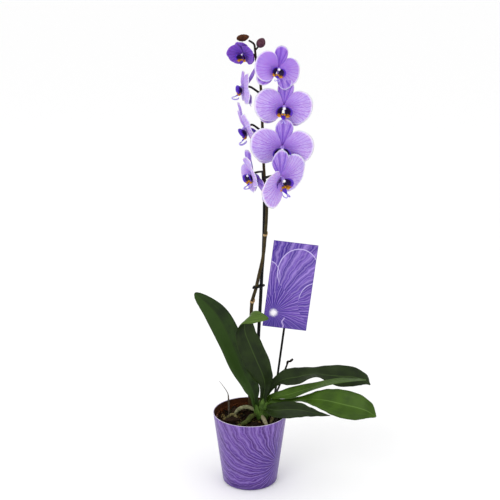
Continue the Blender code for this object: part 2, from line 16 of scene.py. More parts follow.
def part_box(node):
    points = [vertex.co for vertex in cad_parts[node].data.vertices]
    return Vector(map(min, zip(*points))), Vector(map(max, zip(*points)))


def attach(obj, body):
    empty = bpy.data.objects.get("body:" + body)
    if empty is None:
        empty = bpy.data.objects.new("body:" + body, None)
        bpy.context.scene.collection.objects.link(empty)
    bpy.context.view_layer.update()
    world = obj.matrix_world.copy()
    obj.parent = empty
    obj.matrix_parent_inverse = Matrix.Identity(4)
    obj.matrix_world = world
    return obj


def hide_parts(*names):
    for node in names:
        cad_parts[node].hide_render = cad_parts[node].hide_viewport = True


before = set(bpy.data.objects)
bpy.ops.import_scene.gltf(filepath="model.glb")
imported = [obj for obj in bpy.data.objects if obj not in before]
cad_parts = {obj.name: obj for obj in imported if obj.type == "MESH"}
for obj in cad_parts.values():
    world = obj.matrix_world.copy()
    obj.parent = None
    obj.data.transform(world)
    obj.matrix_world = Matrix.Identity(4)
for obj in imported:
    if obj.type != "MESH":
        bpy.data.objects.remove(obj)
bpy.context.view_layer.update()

# %% [markdown]
# ## Camera, floor and light
# A plant portrait is taken from a little above, with a long lens, so that the pot shows its open top and
# the flowers keep their shape. The floor is one wide pale sheet, and the light is soft: a bright room
# (the world) with two large lamps.

# %% Camera
VIEW_FROM = (0.0, -1.75, 0.90)
VIEW_TILT = math.radians(74.34)
LENS = 80.35

camera = bpy.data.objects.new("camera", bpy.data.cameras.new("camera"))
camera.data.lens = LENS
camera.data.sensor_width = 36.0
camera.location = VIEW_FROM
camera.rotation_euler = (VIEW_TILT, 0.0, 0.0)
bpy.context.scene.collection.objects.link(camera)
bpy.context.scene.camera = camera
bpy.context.scene.view_settings.view_transform = "Standard"
print("camera", VIEW_FROM, "lens", LENS)


# %% Floor and lamps
FLOOR_SIZE = 60.0


def lamp(name, place, aim, size, power):
    """A square soft lamp that faces a point."""
    light = bpy.data.objects.new(name, bpy.data.lights.new(name, "AREA"))
    light.data.size = size
    light.data.energy = power
    light.location = place
    light.rotation_euler = (Vector(aim) - Vector(place)).to_track_quat("-Z", "Y").to_euler()
    bpy.context.scene.collection.objects.link(light)


world = bpy.data.worlds.new("bright_room")
world.use_nodes = True
world.node_tree.nodes["Background"].inputs["Color"].default_value = (1.0, 1.0, 1.0, 1.0)
world.node_tree.nodes["Background"].inputs["Strength"].default_value = 1.02
bpy.context.scene.world = world
lamp("key_lamp", (-1.1, -1.9, 1.9), (0.0, 0.0, 0.4), 1.2, 15.0)
lamp("fill_lamp", (1.8, -1.2, 1.2), (0.0, 0.0, 0.4), 1.6, 4.0)

bpy.ops.mesh.primitive_plane_add(size=FLOOR_SIZE)
floor = bpy.context.object
floor.name = "floor"
floor_paint = bpy.data.materials.new("floor_paint")
floor_paint.use_nodes = True
floor_paint.node_tree.nodes["Principled BSDF"].inputs["Base Color"].default_value = (0.97, 0.97, 0.97, 1)
floor_paint.node_tree.nodes["Principled BSDF"].inputs["Roughness"].default_value = 0.9
floor.data.materials.append(floor_paint)
print("floor", FLOOR_SIZE, "m wide")

# %% [markdown]
# ## Tools for finishes
# A finish is a small graph of shader nodes. Adding nodes one by one takes many lines, so a short class
# writes them: each method adds one node and gives back its output. Colours are written as hex, the way a
# paint chart gives them, and turned into the linear numbers that the renderer works with.


# %% Colours and a writer of node graphs
PATTERN = "pattern"   # the UV map that each piece carries: across in u, along in v
MATT_SHINE = 0.10     # natural skins reflect little


def tint(code):
    """A linear colour from a hex code such as 8a6fd0."""
    parts = [int(code[i:i + 2], 16) / 255 for i in (0, 2, 4)]
    return (*[p / 12.92 if p <= 0.04045 else ((p + 0.055) / 1.055) ** 2.4 for p in parts], 1.0)


class Graph:
    """Adds nodes to one material or node group."""

    def __init__(self, tree):
        self.tree = tree

    def add(self, kind, feeds=None, **settings):
        node = self.tree.nodes.new(kind)
        for name, value in settings.items():
            setattr(node, name, value)
        for key, value in (feeds or {}).items():
            self.feed(node.inputs[key], value)
        return node

    def feed(self, socket, value):
        if isinstance(value, bpy.types.NodeSocket):
            self.tree.links.new(value, socket)
        else:
            socket.default_value = value

    def math(self, kind, a, b=0.0, c=0.0):
        return self.add("ShaderNodeMath", {0: a, 1: b, 2: c}, operation=kind).outputs[0]

    def times(self, a, b):
        return self.math("MULTIPLY", a, b)

    def plus(self, a, b):
        return self.math("ADD", a, b)

    def minus(self, a, b):
        return self.math("SUBTRACT", a, b)

    def over(self, a, b):
        return self.math("DIVIDE", a, b)

    def times_plus(self, a, b, c):
        return self.math("MULTIPLY_ADD", a, b, c)

    def span(self, value, low, high, to_low=0.0, to_high=1.0):
        """A smooth step of a value from low to high."""
        node = self.add("ShaderNodeMapRange", interpolation_type="SMOOTHSTEP")
        for key, feed in enumerate((value, low, high, to_low, to_high)):
            self.feed(node.inputs[key], feed)
        return node.outputs[0]

    def mix(self, share, a, b, blend="MIX"):
        node = self.add("ShaderNodeMix", {0: share, 6: a, 7: b}, data_type="RGBA", blend_type=blend)
        return node.outputs[2]

    def noise(self, at, scale, detail=2.0):
        return self.add("ShaderNodeTexNoise", {"Vector": at, "Scale": scale, "Detail": detail}).outputs["Fac"]

    def point(self, x, y, z=0.0):
        return self.add("ShaderNodeCombineXYZ", {0: x, 1: y, 2: z}).outputs[0]

    def place(self):
        return self.add("ShaderNodeTexCoord").outputs["Object"]

    def pattern(self):
        """The piece's own across (0 to 1) and along (0 to 1)."""
        uv = self.add("ShaderNodeUVMap", uv_map=PATTERN).outputs["UV"]
        parts = self.add("ShaderNodeSeparateXYZ", {0: uv})
        return parts.outputs[0], parts.outputs[1]

    def group(self, name, **feeds):
        node = self.add("ShaderNodeGroup", node_tree=bpy.data.node_groups[name])
        for key, value in feeds.items():
            self.feed(node.inputs[key], value)
        return node.outputs

    def mottling(self, size, contrast):
        """The shared patches and grain, at the piece's own place."""
        return self.group("mottling", Place=self.place(), Size=size, Contrast=contrast)

    def veins(self, across, along, count, waver, width, seed=0.0):
        """The shared fan of veins."""
        return self.group("fanned_veins", Across=across, Along=along, Count=count, Waver=waver,
                          Width=width, Seed=seed)["Veins"]

    def stain(self, ground, mask, strength, code):
        """A colour laid over the ground where a mask is bright."""
        return self.mix(self.times(mask, strength), ground, tint(code))

    def wash(self, ground, value, low, high, strength, code):
        """A colour that comes over the ground as a value goes from low to high."""
        return self.mix(self.span(value, low, high, 0.0, strength), ground, tint(code))

    def length(self, x, y):
        squares = [self.times(side, side) for side in (x, y)]
        return self.math("SQRT", self.plus(*squares))

    def patchy(self, cloud, dark, light):
        """Two colours that share the surface in slow patches."""
        return self.mix(cloud["Patches"], tint(dark), tint(light))

    def paint(self, shader, colour):
        self.feed(shader.inputs["Base Color"], colour)

    def polish(self, shader, cloud, low, high):
        """A roughness that runs from low to high with the grain."""
        self.feed(shader.inputs["Roughness"], self.span(cloud["Grain"], 0.3, 0.7, low, high))

    def relief(self, shader, height, strength, distance):
        feeds = {"Height": height, "Strength": strength, "Distance": distance}
        self.feed(shader.inputs["Normal"], self.add("ShaderNodeBump", feeds).outputs[0])


def new_finish(name, **fixed):
    """A material, its graph and its shader; the fixed values go straight on the shader's sockets."""
    made = bpy.data.materials.new(name)
    made.use_nodes = True
    shader = made.node_tree.nodes["Principled BSDF"]
    shader.inputs["Specular IOR Level"].default_value = MATT_SHINE
    for key, value in fixed.items():
        shader.inputs[key.replace("_", " ")].default_value = value
    return made, Graph(made.node_tree), shader


def new_group(name, outputs, **inputs):
    """A shader node group with named number inputs, its graph, its inputs and its end node."""
    tree = bpy.data.node_groups.new(name, "ShaderNodeTree")
    for key, value in inputs.items():
        kind = "NodeSocketVector" if value is None else "NodeSocketFloat"
        socket = tree.interface.new_socket(key, in_out="INPUT", socket_type=kind)
        if value is not None:
            socket.default_value = value
    for key in outputs:
        tree.interface.new_socket(key, in_out="OUTPUT", socket_type="NodeSocketFloat")
    graph = Graph(tree)
    return graph, graph.add("NodeGroupInput").outputs, graph.add("NodeGroupOutput").inputs


print("tools for finishes are ready")

# %% [markdown]
# ## Two effects that many finishes share
# The veins of a petal leave its base together and fork on the way out. A saw-tooth of the place across
# the petal gives one line each time it passes a whole number; a finer saw-tooth that fades in further out
# puts a new line between each two, which reads as forking. The same fan drawn about a point makes the
# print on the pot and the card.
#
# The second effect is mottling: slow patches and fine grain, for everything that grew.

# %% Shared effects
graph, given, result = new_group("fanned_veins", ["Veins"], Across=0.0, Along=0.0, Count=8.0,
                                 Waver=0.05, Width=0.3, Seed=0.0)
spot = graph.point(graph.times(given["Across"], 2.5), graph.times(given["Along"], 3.0),
                   given["Seed"])
sway = graph.minus(graph.noise(spot, 2.0, 3.0), 0.5)
across = graph.times_plus(sway, given["Waver"], given["Across"])
veins = None
for fork, (start, strength) in enumerate([(-0.2, 1.0), (0.22, 0.8), (0.5, 0.55)]):
    wave = graph.times(across, graph.times(given["Count"], 2.0 ** fork))
    off_line = graph.math("PINGPONG", wave, 0.5)
    line = graph.span(off_line, given["Width"], 0.0, 0.0, strength)
    line = graph.times(line, graph.span(given["Along"], start, start + 0.2))
    veins = line if veins is None else graph.math("MAXIMUM", veins, line)
graph.feed(result["Veins"], veins)

graph, given, result = new_group("mottling", ["Patches", "Grain"], Place=None, Size=0.01, Contrast=1.0)
scale = graph.over(1.0, given["Size"])
patches = graph.noise(given["Place"], scale, 3.0)
spread = graph.times(given["Contrast"], 0.22)
graph.feed(result["Patches"], graph.span(patches, graph.minus(0.5, spread),
                                         graph.plus(0.5, spread)))
graph.feed(result["Grain"], graph.noise(given["Place"], graph.times(scale, 7.0), 4.0))
print("shared effects:", [group.name for group in bpy.data.node_groups])

# %% [markdown]
# ## Tools for shapes
# Nearly every piece of a plant is a sheet or a stem. Both start here as a flat grid whose corners are
# moved by a formula of two numbers: across and along. A stem's sheet is rolled round a path and welded.
# The grid's own numbers stay on the piece as a UV map, so that veins and stripes follow the shape.

# %% Sheets, stems and finished pieces
WELD = 0.00002


def route(points, count):
    """Evenly spaced points on a smooth curve through the given ones."""
    knots = [Vector(point) for point in points]
    knots = [2 * knots[0] - knots[1], *knots, 2 * knots[-1] - knots[-2]]
    spans = len(knots) - 3
    path = []
    for step in range(count):
        along = spans * step / (count - 1)
        first = min(int(along), spans - 1)
        t = along - first
        a, b, c, d = knots[first:first + 4]
        path.append(0.5 * (2 * b + (c - a) * t + (2 * a - 5 * b + 4 * c - d) * t * t
                           + (3 * b - a - 3 * c + d) * t ** 3))
    return path


def bent_sheet(shape, columns, rows, closed=False):
    """A mesh whose corners are shape(across, along), each from 0 to 1."""
    bm = bmesh.new()
    bm.loops.layers.uv.new(PATTERN)
    bmesh.ops.create_grid(bm, x_segments=columns, y_segments=rows, size=0.5, calc_uvs=True)
    for vert in bm.verts:
        vert.co = shape(vert.co.x + 0.5, vert.co.y + 0.5)
    bmesh.ops.remove_doubles(bm, verts=bm.verts, dist=WELD)
    if closed:
        bmesh.ops.recalc_face_normals(bm, faces=bm.faces)
    mesh = bpy.data.meshes.new("sheet")
    bm.to_mesh(mesh)
    bm.free()
    mesh.shade_smooth()
    return mesh


def settled(mesh, *modifiers):
    """The mesh after some modifiers, each given as (kind, its settings)."""
    item = bpy.data.objects.new("settling", mesh)
    bpy.context.scene.collection.objects.link(item)
    for kind, settings in modifiers:
        modifier = item.modifiers.new(kind.lower(), kind)
        for key, value in settings.items():
            setattr(modifier, key, value)
    shaped = item.evaluated_get(bpy.context.evaluated_depsgraph_get())
    result = bpy.data.meshes.new_from_object(shaped)
    bpy.data.objects.remove(item)
    return result


def blob(centre, radii, turn=None, rings=10, knobs=0.0, seed=0):
    """A small closed round body, stretched, turned and made a little uneven."""
    turned = turn or Matrix.Identity(3)

    def shape(u, v):
        away = Vector((math.cos(2 * math.pi * u) * math.sin(math.pi * v),
                       math.sin(2 * math.pi * u) * math.sin(math.pi * v), -math.cos(math.pi * v)))
        wave = 1 + knobs * math.sin(3.1 * away.x + 5.3 * away.y + 4.1 * away.z + seed)
        local = Vector(away[i] * radii[i] * wave for i in range(3))
        return Vector(centre) + turned @ local

    return bent_sheet(shape, 2 * rings, rings, closed=True)


def stem(path, radius_at, sides=16, rough=0.0, seed=0):
    """A round stem with closed ends; radius_at gives its radius from 0 to 1 along."""
    ahead = [(path[min(i + 1, len(path) - 1)] - path[max(i - 1, 0)]).normalized() for i in range(len(path))]
    side = ahead[0].orthogonal().normalized()
    sides_at = []
    for direction in ahead:
        side = (side - direction * side.dot(direction)).normalized()
        sides_at.append(side)
    last = len(path) - 1

    def shape(u, v):
        row = round(v * (last + 2)) - 1
        inner = min(max(row, 0), last)
        turn = 2 * math.pi * u
        radius = radius_at(inner / last) if 0 <= row <= last else 0.0
        radius *= 1 + rough * math.sin(3 * turn + 2.7 * inner + seed) * math.sin(1.3 * inner + seed)
        other = ahead[inner].cross(sides_at[inner])
        return path[inner] + (sides_at[inner] * math.cos(turn) + other * math.sin(turn)) * radius

    return bent_sheet(shape, sides, last + 2, closed=True)


def tapering(*radii):
    """A radius that runs evenly through the given ones."""
    def at(along):
        place = along * (len(radii) - 1)
        low = min(int(place), len(radii) - 2)
        return radii[low] + (radii[low + 1] - radii[low]) * (place - low)
    return at


def assembled(name, parts, slot, *nodes):
    """One finished piece from (mesh, finish) parts; it rides on the model and stands for the nodes."""
    finishes = []
    bm = bmesh.new()
    for mesh, finish in parts:
        if finish not in finishes:
            finishes.append(finish)
        for face in mesh.polygons:
            face.material_index = finishes.index(finish)
        bm.from_mesh(mesh)
    whole = bpy.data.meshes.new(name)
    bm.to_mesh(whole)
    bm.free()
    for finish in finishes:
        whole.materials.append(finish)
    piece = bpy.data.objects.new(name, whole)
    bpy.context.scene.collection.objects.link(piece)
    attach(piece, "root")
    if nodes:
        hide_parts(*nodes)
    return piece


print("tools for shapes are ready")

# %% [markdown]
# ## The cover pot and its print
# The cover is a thin plastic pot that carries a huge close-up of a petal. It is a turned wall: a profile
# swept about the middle. The print is a fan of dark, curved streaks that meet at a point low on the
# right. Measured round the wall and up it, the place is turned into a bearing and a distance from
# that point, and the bearing is bent with the distance. The picture repeats twice round the pot.

# %% Cover pot
_, POT_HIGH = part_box("pot_cover")
POT_HEIGHT = POT_HIGH.z
RIM_RADIUS = POT_HIGH.x
POT_TAPER = 0.0163          # how much narrower the foot is than the rim
POT_WALL = 0.0012
POT_CORNER = 0.005
LIP_ROUNDING = 0.0004
PRINT_COPIES = 2
PRINT_CENTRE = (0.060, 0.047)   # round the wall from its front, and up
PRINT_BEND = 5.5
PRINT_REACH = 0.11          # from that centre to the far rim of the printed petal


def cover_radius(height):
    return RIM_RADIUS - POT_TAPER * (1 - height / POT_HEIGHT)


def cover_print():
    made, graph, shader = new_finish("cover_print", Roughness=0.36, Specular_IOR_Level=0.3, Coat_Weight=0.06,
                                     Coat_Roughness=0.25)
    round_pot, _ = graph.pattern()
    up = graph.add("ShaderNodeSeparateXYZ", {0: graph.place()}).outputs[2]
    girth = 2 * math.pi * cover_radius(POT_HEIGHT / 2)
    sideways = graph.times_plus(round_pot, girth, -girth / 2 - PRINT_CENTRE[0])
    reach = girth / PRINT_COPIES
    sideways = graph.math("WRAP", sideways, 0.16 * reach, -0.84 * reach)
    left = graph.times(sideways, -1.0)
    above = graph.minus(up, PRINT_CENTRE[1])
    distance = graph.length(left, above)
    bearing = graph.math("ARCTAN2", above, left)
    swept = graph.times_plus(distance, -PRINT_BEND, bearing)
    along = graph.over(distance, PRINT_REACH)
    broad = graph.veins(swept, along, 3.2, 0.22, 0.42)
    fine = graph.veins(swept, along, 9.0, 0.16, 0.34, 4.0)
    cloud = graph.mottling(0.016, 1.3)
    ground = graph.mix(graph.span(along, 0.15, 0.95), tint("381e80"), tint("60409c"))
    ground = graph.wash(ground, up, 0.07, 0.124, 0.55, "8460b6")
    ground = graph.stain(ground, cloud["Patches"], 0.35, "683888")
    ground = graph.stain(ground, broad, 0.80, "3a125c")
    ground = graph.stain(ground, fine, 0.62, "44207c")
    light = graph.veins(swept, along, 6.0, 0.20, 0.26, 9.0)
    ground = graph.stain(ground, light, 0.50, "9c80cc")
    # painted shade: the print is darkened towards the foot of the pot, where shade falls near the floor
    ground = graph.wash(ground, up, 0.020, 0.0, 0.5, "2c185e")
    petal_edge = graph.span(graph.math("ABSOLUTE", graph.plus(sideways, 0.84 * reach)), 0.003, 0.0)
    graph.paint(shader, graph.mix(petal_edge, ground, tint("b7a4dc")))
    graph.polish(shader, cloud, 0.28, 0.42)
    return made


def cover_inside():
    made, graph, shader = new_finish("cover_inside", Roughness=0.55)
    cloud = graph.mottling(0.012, 1.2)
    graph.paint(shader, graph.patchy(cloud, "2a150b", "472512"))
    graph.polish(shader, cloud, 0.45, 0.65)
    return made


def cover_edge():
    made, graph, shader = new_finish("cover_edge", Roughness=0.5)
    cloud = graph.mottling(0.004, 1.0)
    graph.paint(shader, graph.patchy(cloud, "b9aecd", "d8d0e2"))
    return made


def turned_wall(points, steps=160):
    """A profile of (radius, height) points swept about Z; u 0.5 is the front."""
    def shape(u, v):
        radius, height = points[round(v * (len(points) - 1))]
        angle = 2 * math.pi * (u - 0.5) - math.pi / 2
        return Vector((radius * math.cos(angle), radius * math.sin(angle), height))

    mesh = bent_sheet(shape, steps, len(points) - 1)
    mesh.flip_normals()
    return mesh


def make_cover():
    steps = 24
    shoulder = POT_HEIGHT - LIP_ROUNDING
    corner = [(cover_radius(POT_CORNER) - POT_CORNER * (1 - math.cos(a)), POT_CORNER * (1 - math.sin(a)))
              for a in [math.radians(90 * k / 8) for k in range(9)]]
    outer = [(cover_radius(z), z) for z in
             [shoulder - (shoulder - POT_CORNER) * k / steps for k in range(steps)]]
    outer += corner + [(corner[-1][0] * 0.5, 0.0), (0.0, 0.0)]
    inner = [(0.0, POT_WALL), (corner[-1][0] * 0.5, POT_WALL)]
    inner += [(radius - POT_WALL, height + POT_WALL) for radius, height in corner[::-1]]
    inner += [(cover_radius(z) - POT_WALL, z) for z in
              [POT_CORNER + POT_WALL + (shoulder - POT_CORNER - POT_WALL) * k / steps
               for k in range(1, steps + 1)]]
    lip = [(RIM_RADIUS - POT_WALL, shoulder), (RIM_RADIUS - 0.8 * POT_WALL, POT_HEIGHT),
           (RIM_RADIUS - 0.2 * POT_WALL, POT_HEIGHT), (cover_radius(shoulder), shoulder)]
    parts = [(turned_wall(outer), cover_print()), (turned_wall(inner), cover_inside()),
             (turned_wall(lip), cover_edge())]
    piece = assembled("printed_cover", parts, "cover_print", "pot_cover")
    bm = bmesh.new()
    bm.from_mesh(piece.data)
    bmesh.ops.remove_doubles(bm, verts=bm.verts, dist=WELD)
    bm.to_mesh(piece.data)
    bm.free()
    return piece


cover = make_cover()
print("cover pot:", len(cover.data.polygons), "faces")

# %% [markdown]
# ## The inner pot and the bed of bark
# The plant roots in bark, inside a see-through pot whose lip shows under the rim of the cover. The fixed
# model has the right shapes for the pot and the bed, so they only get finishes. On the bed lies a litter of
# chips. A hundred chips placed by hand would be slow and would look placed, so Geometry Nodes scatter
# points over the bed and put a chip on each, turned and sized at random from a fixed seed.

# %% Finishes for the inner pot and the bark
BARK_COLOURS = [(0.0, "0a0603"), (0.25, "120903"), (0.45, "221309"), (0.62, "322110"),
                (0.74, "2a3010"), (0.84, "583c1c"), (0.93, "767046"), (1.0, "a05a18")]


def inner_pot_finish():
    made, graph, shader = new_finish("inner_pot_plastic", Transmission_Weight=0.30, IOR=1.46, Roughness=0.22)
    cloud = graph.mottling(0.01, 1.0)
    graph.paint(shader, graph.patchy(cloud, "4a2614", "663a20"))
    return made


def bark_finish(name, own_tone):
    made, graph, shader = new_finish(name, Roughness=0.9)
    place = graph.place()
    cloud = graph.group("mottling", Place=place, Size=0.006, Contrast=1.1)
    layers = graph.add("ShaderNodeTexWave", {"Vector": place, "Scale": 160.0, "Distortion": 9.0,
                                             "Detail": 3.0}, bands_direction="Z").outputs["Fac"]
    tone = graph.times(cloud["Patches"], 0.6)
    if own_tone:
        chip = graph.add("ShaderNodeAttribute", attribute_name="chip_tone").outputs["Fac"]
        tone = graph.times_plus(cloud["Patches"], 0.22, graph.times(chip, 0.80))
    ramp = graph.add("ShaderNodeValToRGB", {"Fac": tone})
    for place_on, code in BARK_COLOURS[1:-1]:
        ramp.color_ramp.elements.new(place_on)
    for element, (place_on, code) in zip(ramp.color_ramp.elements, BARK_COLOURS):
        element.position = place_on
        element.color = tint(code)
    dark = graph.mix(graph.times(layers, 0.45), ramp.outputs[0], tint("140b06"))
    graph.paint(shader, dark)
    height = graph.plus(cloud["Grain"], graph.times(layers, 0.6))
    graph.relief(shader, height, 0.8, 0.0008)
    graph.polish(shader, cloud, 0.75, 0.98)
    return made


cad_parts["grow_pot"].data.materials.clear()
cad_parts["grow_pot"].data.materials.append(inner_pot_finish())
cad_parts["bark_medium"].data.materials.clear()
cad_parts["bark_medium"].data.materials.append(bark_finish("bark_bed", False))
chip_bark = bark_finish("bark_chips", True)
print("finishes for the inner pot and", len(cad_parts["bark_medium"].data.polygons), "faces of bark")

# %% Scatter the litter of chips
BARK_BELOW_RIM = 0.0157
BARK_LEVEL = POT_HEIGHT - BARK_BELOW_RIM
BED_LIFT = 0.001            # the scattered chips start just over the fixed bed
BED_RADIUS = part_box("bark_medium")[1].x
CHIP_LENGTH = 0.0105
CHIP_SPACING = 0.0046
CHIP_TEAR = 0.007
CHIP_HEAP = 0.0035


def scatter_tree():
    """Geometry Nodes that lay chips on a bed: three kinds of chip, each bent by noise."""
    tree = bpy.data.node_groups.new("bark_scatter", "GeometryNodeTree")
    for name, kind in (("Bed", "Geometry"), ("Chip length", "Float"), ("Spacing", "Float"),
                       ("Heap", "Float"), ("Seed", "Int"), ("Finish", "Material")):
        tree.interface.new_socket(name, in_out="INPUT", socket_type="NodeSocket" + kind)
    tree.interface.new_socket("Chips", in_out="OUTPUT", socket_type="NodeSocketGeometry")
    graph = Graph(tree)
    given = graph.add("NodeGroupInput").outputs
    spread = graph.add("GeometryNodeDistributePointsOnFaces",
                       {"Mesh": given["Bed"], "Distance Min": given["Spacing"], "Density Max": 90000.0,
                        "Seed": given["Seed"]}, distribute_method="POISSON").outputs["Points"]
    heap = graph.add("FunctionNodeRandomValue", {2: 0.0, 3: given["Heap"], 8: 5})
    lift = graph.add("ShaderNodeCombineXYZ", {2: heap.outputs[1]}).outputs[0]
    spread = graph.add("GeometryNodeSetPosition", {"Geometry": spread, "Offset": lift}).outputs[0]
    kinds = graph.add("GeometryNodeJoinGeometry")
    for kind in range(3):
        size = graph.add("ShaderNodeVectorMath", {0: (1.0, 0.62 - 0.1 * kind, 0.26 + 0.05 * kind),
                                                  "Scale": given["Chip length"]}, operation="SCALE")
        cube = graph.add("GeometryNodeMeshCube", {"Size": size.outputs[0], "Vertices X": 5, "Vertices Y": 4,
                                                  "Vertices Z": 3}).outputs["Mesh"]
        where = graph.add("ShaderNodeVectorMath", {0: graph.add("GeometryNodeInputPosition").outputs[0],
                                                   1: (0.1 * kind, 0.0, 0.0)}, operation="ADD").outputs[0]
        push = graph.add("ShaderNodeTexNoise", {"Vector": where, "Scale": 230.0, "Detail": 2.0})
        push = graph.add("ShaderNodeVectorMath", {0: push.outputs["Color"], 1: (0.5, 0.5, 0.5)},
                         operation="SUBTRACT").outputs[0]
        push = graph.add("ShaderNodeVectorMath", {0: push, "Scale": CHIP_TEAR}, operation="SCALE").outputs[0]
        bent = graph.add("GeometryNodeSetPosition", {"Geometry": cube, "Offset": push}).outputs[0]
        single = graph.add("GeometryNodeGeometryToInstance", {0: bent}).outputs[0]
        graph.tree.links.new(single, kinds.inputs[0])
    turn = graph.add("FunctionNodeRandomValue", {0: (-0.6, -0.6, 0.0), 1: (0.6, 0.6, 6.283), 8: 1},
                     data_type="FLOAT_VECTOR")
    scale = graph.add("FunctionNodeRandomValue", {0: (0.55, 0.6, 0.7), 1: (1.35, 1.3, 1.3), 8: 2},
                      data_type="FLOAT_VECTOR")
    placed = graph.add("GeometryNodeInstanceOnPoints",
                       {"Points": spread, "Instance": kinds.outputs[0], "Pick Instance": True,
                        "Rotation": turn.outputs[0], "Scale": scale.outputs[0]}).outputs[0]
    tone = graph.add("FunctionNodeRandomValue", {8: 3})
    toned = graph.add("GeometryNodeStoreNamedAttribute", {0: placed, 2: "chip_tone", 3: tone.outputs[1]},
                      data_type="FLOAT", domain="INSTANCE").outputs[0]
    real = graph.add("GeometryNodeRealizeInstances", {0: toned}).outputs[0]
    done = graph.add("GeometryNodeSetMaterial", {"Geometry": real, "Material": given["Finish"]}).outputs[0]
    graph.feed(graph.add("NodeGroupOutput").inputs[0], done)
    return tree


def grown(name, mesh, tree, **values):
    """The plain mesh that a Geometry Nodes tree makes from a mesh, with its inputs set by name."""
    item = bpy.data.objects.new(name, mesh)
    bpy.context.scene.collection.objects.link(item)
    modifier = item.modifiers.new(name, "NODES")
    modifier.node_group = tree
    for socket in tree.interface.items_tree:
        if socket.name.replace(" ", "_") in values:
            modifier[socket.identifier] = values[socket.name.replace(" ", "_")]
    shaped = item.evaluated_get(bpy.context.evaluated_depsgraph_get())
    result = bpy.data.meshes.new_from_object(shaped)
    bpy.data.objects.remove(item)
    return result


def bed_top(u, v):
    radius = (BED_RADIUS - 0.45 * CHIP_LENGTH) * v
    turn = 2 * math.pi * u
    return Vector((radius * math.cos(turn), radius * math.sin(turn), BARK_LEVEL + BED_LIFT))


litter = assembled("bark_litter", [(grown("litter", bent_sheet(bed_top, 32, 8), scatter_tree(),
                                          Chip_length=CHIP_LENGTH, Spacing=CHIP_SPACING, Heap=CHIP_HEAP,
                                          Seed=7, Finish=chip_bark), chip_bark)], "bark")
print("bark litter:", len(litter.data.polygons), "faces")

# %% The four large loose chips
CHIP_SIZE = (0.024, 0.014, 0.006)
CHIP_TURNS = [20, 10, 82, 95]
CHIP_TORN = 0.0006
CHIP_LAYERED = 0.00025


def broken_chip(centre, turn, seed):
    """A slab of bark: a cut-up box, torn and layered by noise."""
    bm = bmesh.new()
    bmesh.ops.create_cube(bm, size=1.0)
    bmesh.ops.subdivide_edges(bm, edges=bm.edges, cuts=9, use_grid_fill=True)
    spin = Matrix.Rotation(math.radians(turn), 3, "Z")
    for vert in bm.verts:
        flat = vert.co.copy()
        flat.x *= 1.0 - 0.16 * flat.y - 0.1 * abs(flat.z)
        flat.y *= 1.0 - 0.45 * flat.x * flat.x
        local = Vector(flat[i] * CHIP_SIZE[i] for i in range(3))
        torn = Vector(math.sin(11 * flat[(i + 1) % 3] + 7 * flat[(i + 2) % 3] + 1.7 * seed + i)
                      for i in range(3))
        fine = Vector(math.sin(31 * flat[(i + 2) % 3] - 23 * flat[i] + 0.9 * seed + i) for i in range(3))
        vert.co = Vector(centre) + spin @ (local + torn * CHIP_TORN + fine * CHIP_LAYERED)
    tone = bm.verts.layers.float.new("chip_tone")
    for vert in bm.verts:
        vert[tone] = 0.28 + 0.14 * (seed % 3)
    mesh = bpy.data.meshes.new("chip")
    bm.to_mesh(mesh)
    bm.free()
    return mesh


for number, turn in enumerate(CHIP_TURNS, 1):
    low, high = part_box(f"bark_chip_{number}")
    chip = broken_chip((low + high) / 2, turn, number)
    assembled(f"loose_chip_{number}", [(chip, chip_bark)], "bark", f"bark_chip_{number}")
print("loose chips:", len(CHIP_TURNS))

# %% [markdown]
# ## Leaves
# An orchid leaf starts as a folded sheath that clasps the stem, and opens into a thick strap with a
# groove down its middle. Each leaf here is one closed blade: across it, the upper face runs from edge to
# edge and the under face runs back, so the two meet in a thin rim. Its spine is a smooth curve through a
# few points, and the V of its fold opens from the sheath to the tip.

# %% Blades with two faces
CROWN_PLACE = (0.022, 0.0)
CROWN_RADIUS = 0.0095
CROWN_HEIGHT = 0.036
CROWN_CLEARANCE = 0.0038    # from the crown's side to the middle of a leaf's or root's base


def on_bark(point):
    return Vector((point[0], point[1], point[2] + BARK_LEVEL))


def planted(points):
    return [on_bark(point) for point in points]


def eased(value, low, high):
    """A smooth step from 0 to 1 between low and high."""
    share = min(max((value - low) / (high - low), 0.0), 1.0)
    return share * share * (3 - 2 * share)


def blade(shape, wall, columns, rows):
    """A closed thin blade. shape(across, along) gives a point and the way its upper face looks."""
    def faces(u, v):
        across = 2 * u if u <= 0.5 else 2 - 2 * u
        middle, up = shape(across, v)
        body = wall * math.sqrt(max(1 - (2 * across - 1) ** 2, 0)) * math.sqrt(max(math.sin(math.pi * v), 0))
        return middle + up * (body / 2 if u <= 0.5 else -body / 2)

    return bent_sheet(faces, 2 * columns, rows, closed=True)


def crown_side(bearing, height):
    angle = math.radians(bearing)
    reach = CROWN_RADIUS + CROWN_CLEARANCE
    return (CROWN_PLACE[0] + reach * math.cos(angle), CROWN_PLACE[1] + reach * math.sin(angle), height)


print("blades are ready")

# %% Leaf finishes


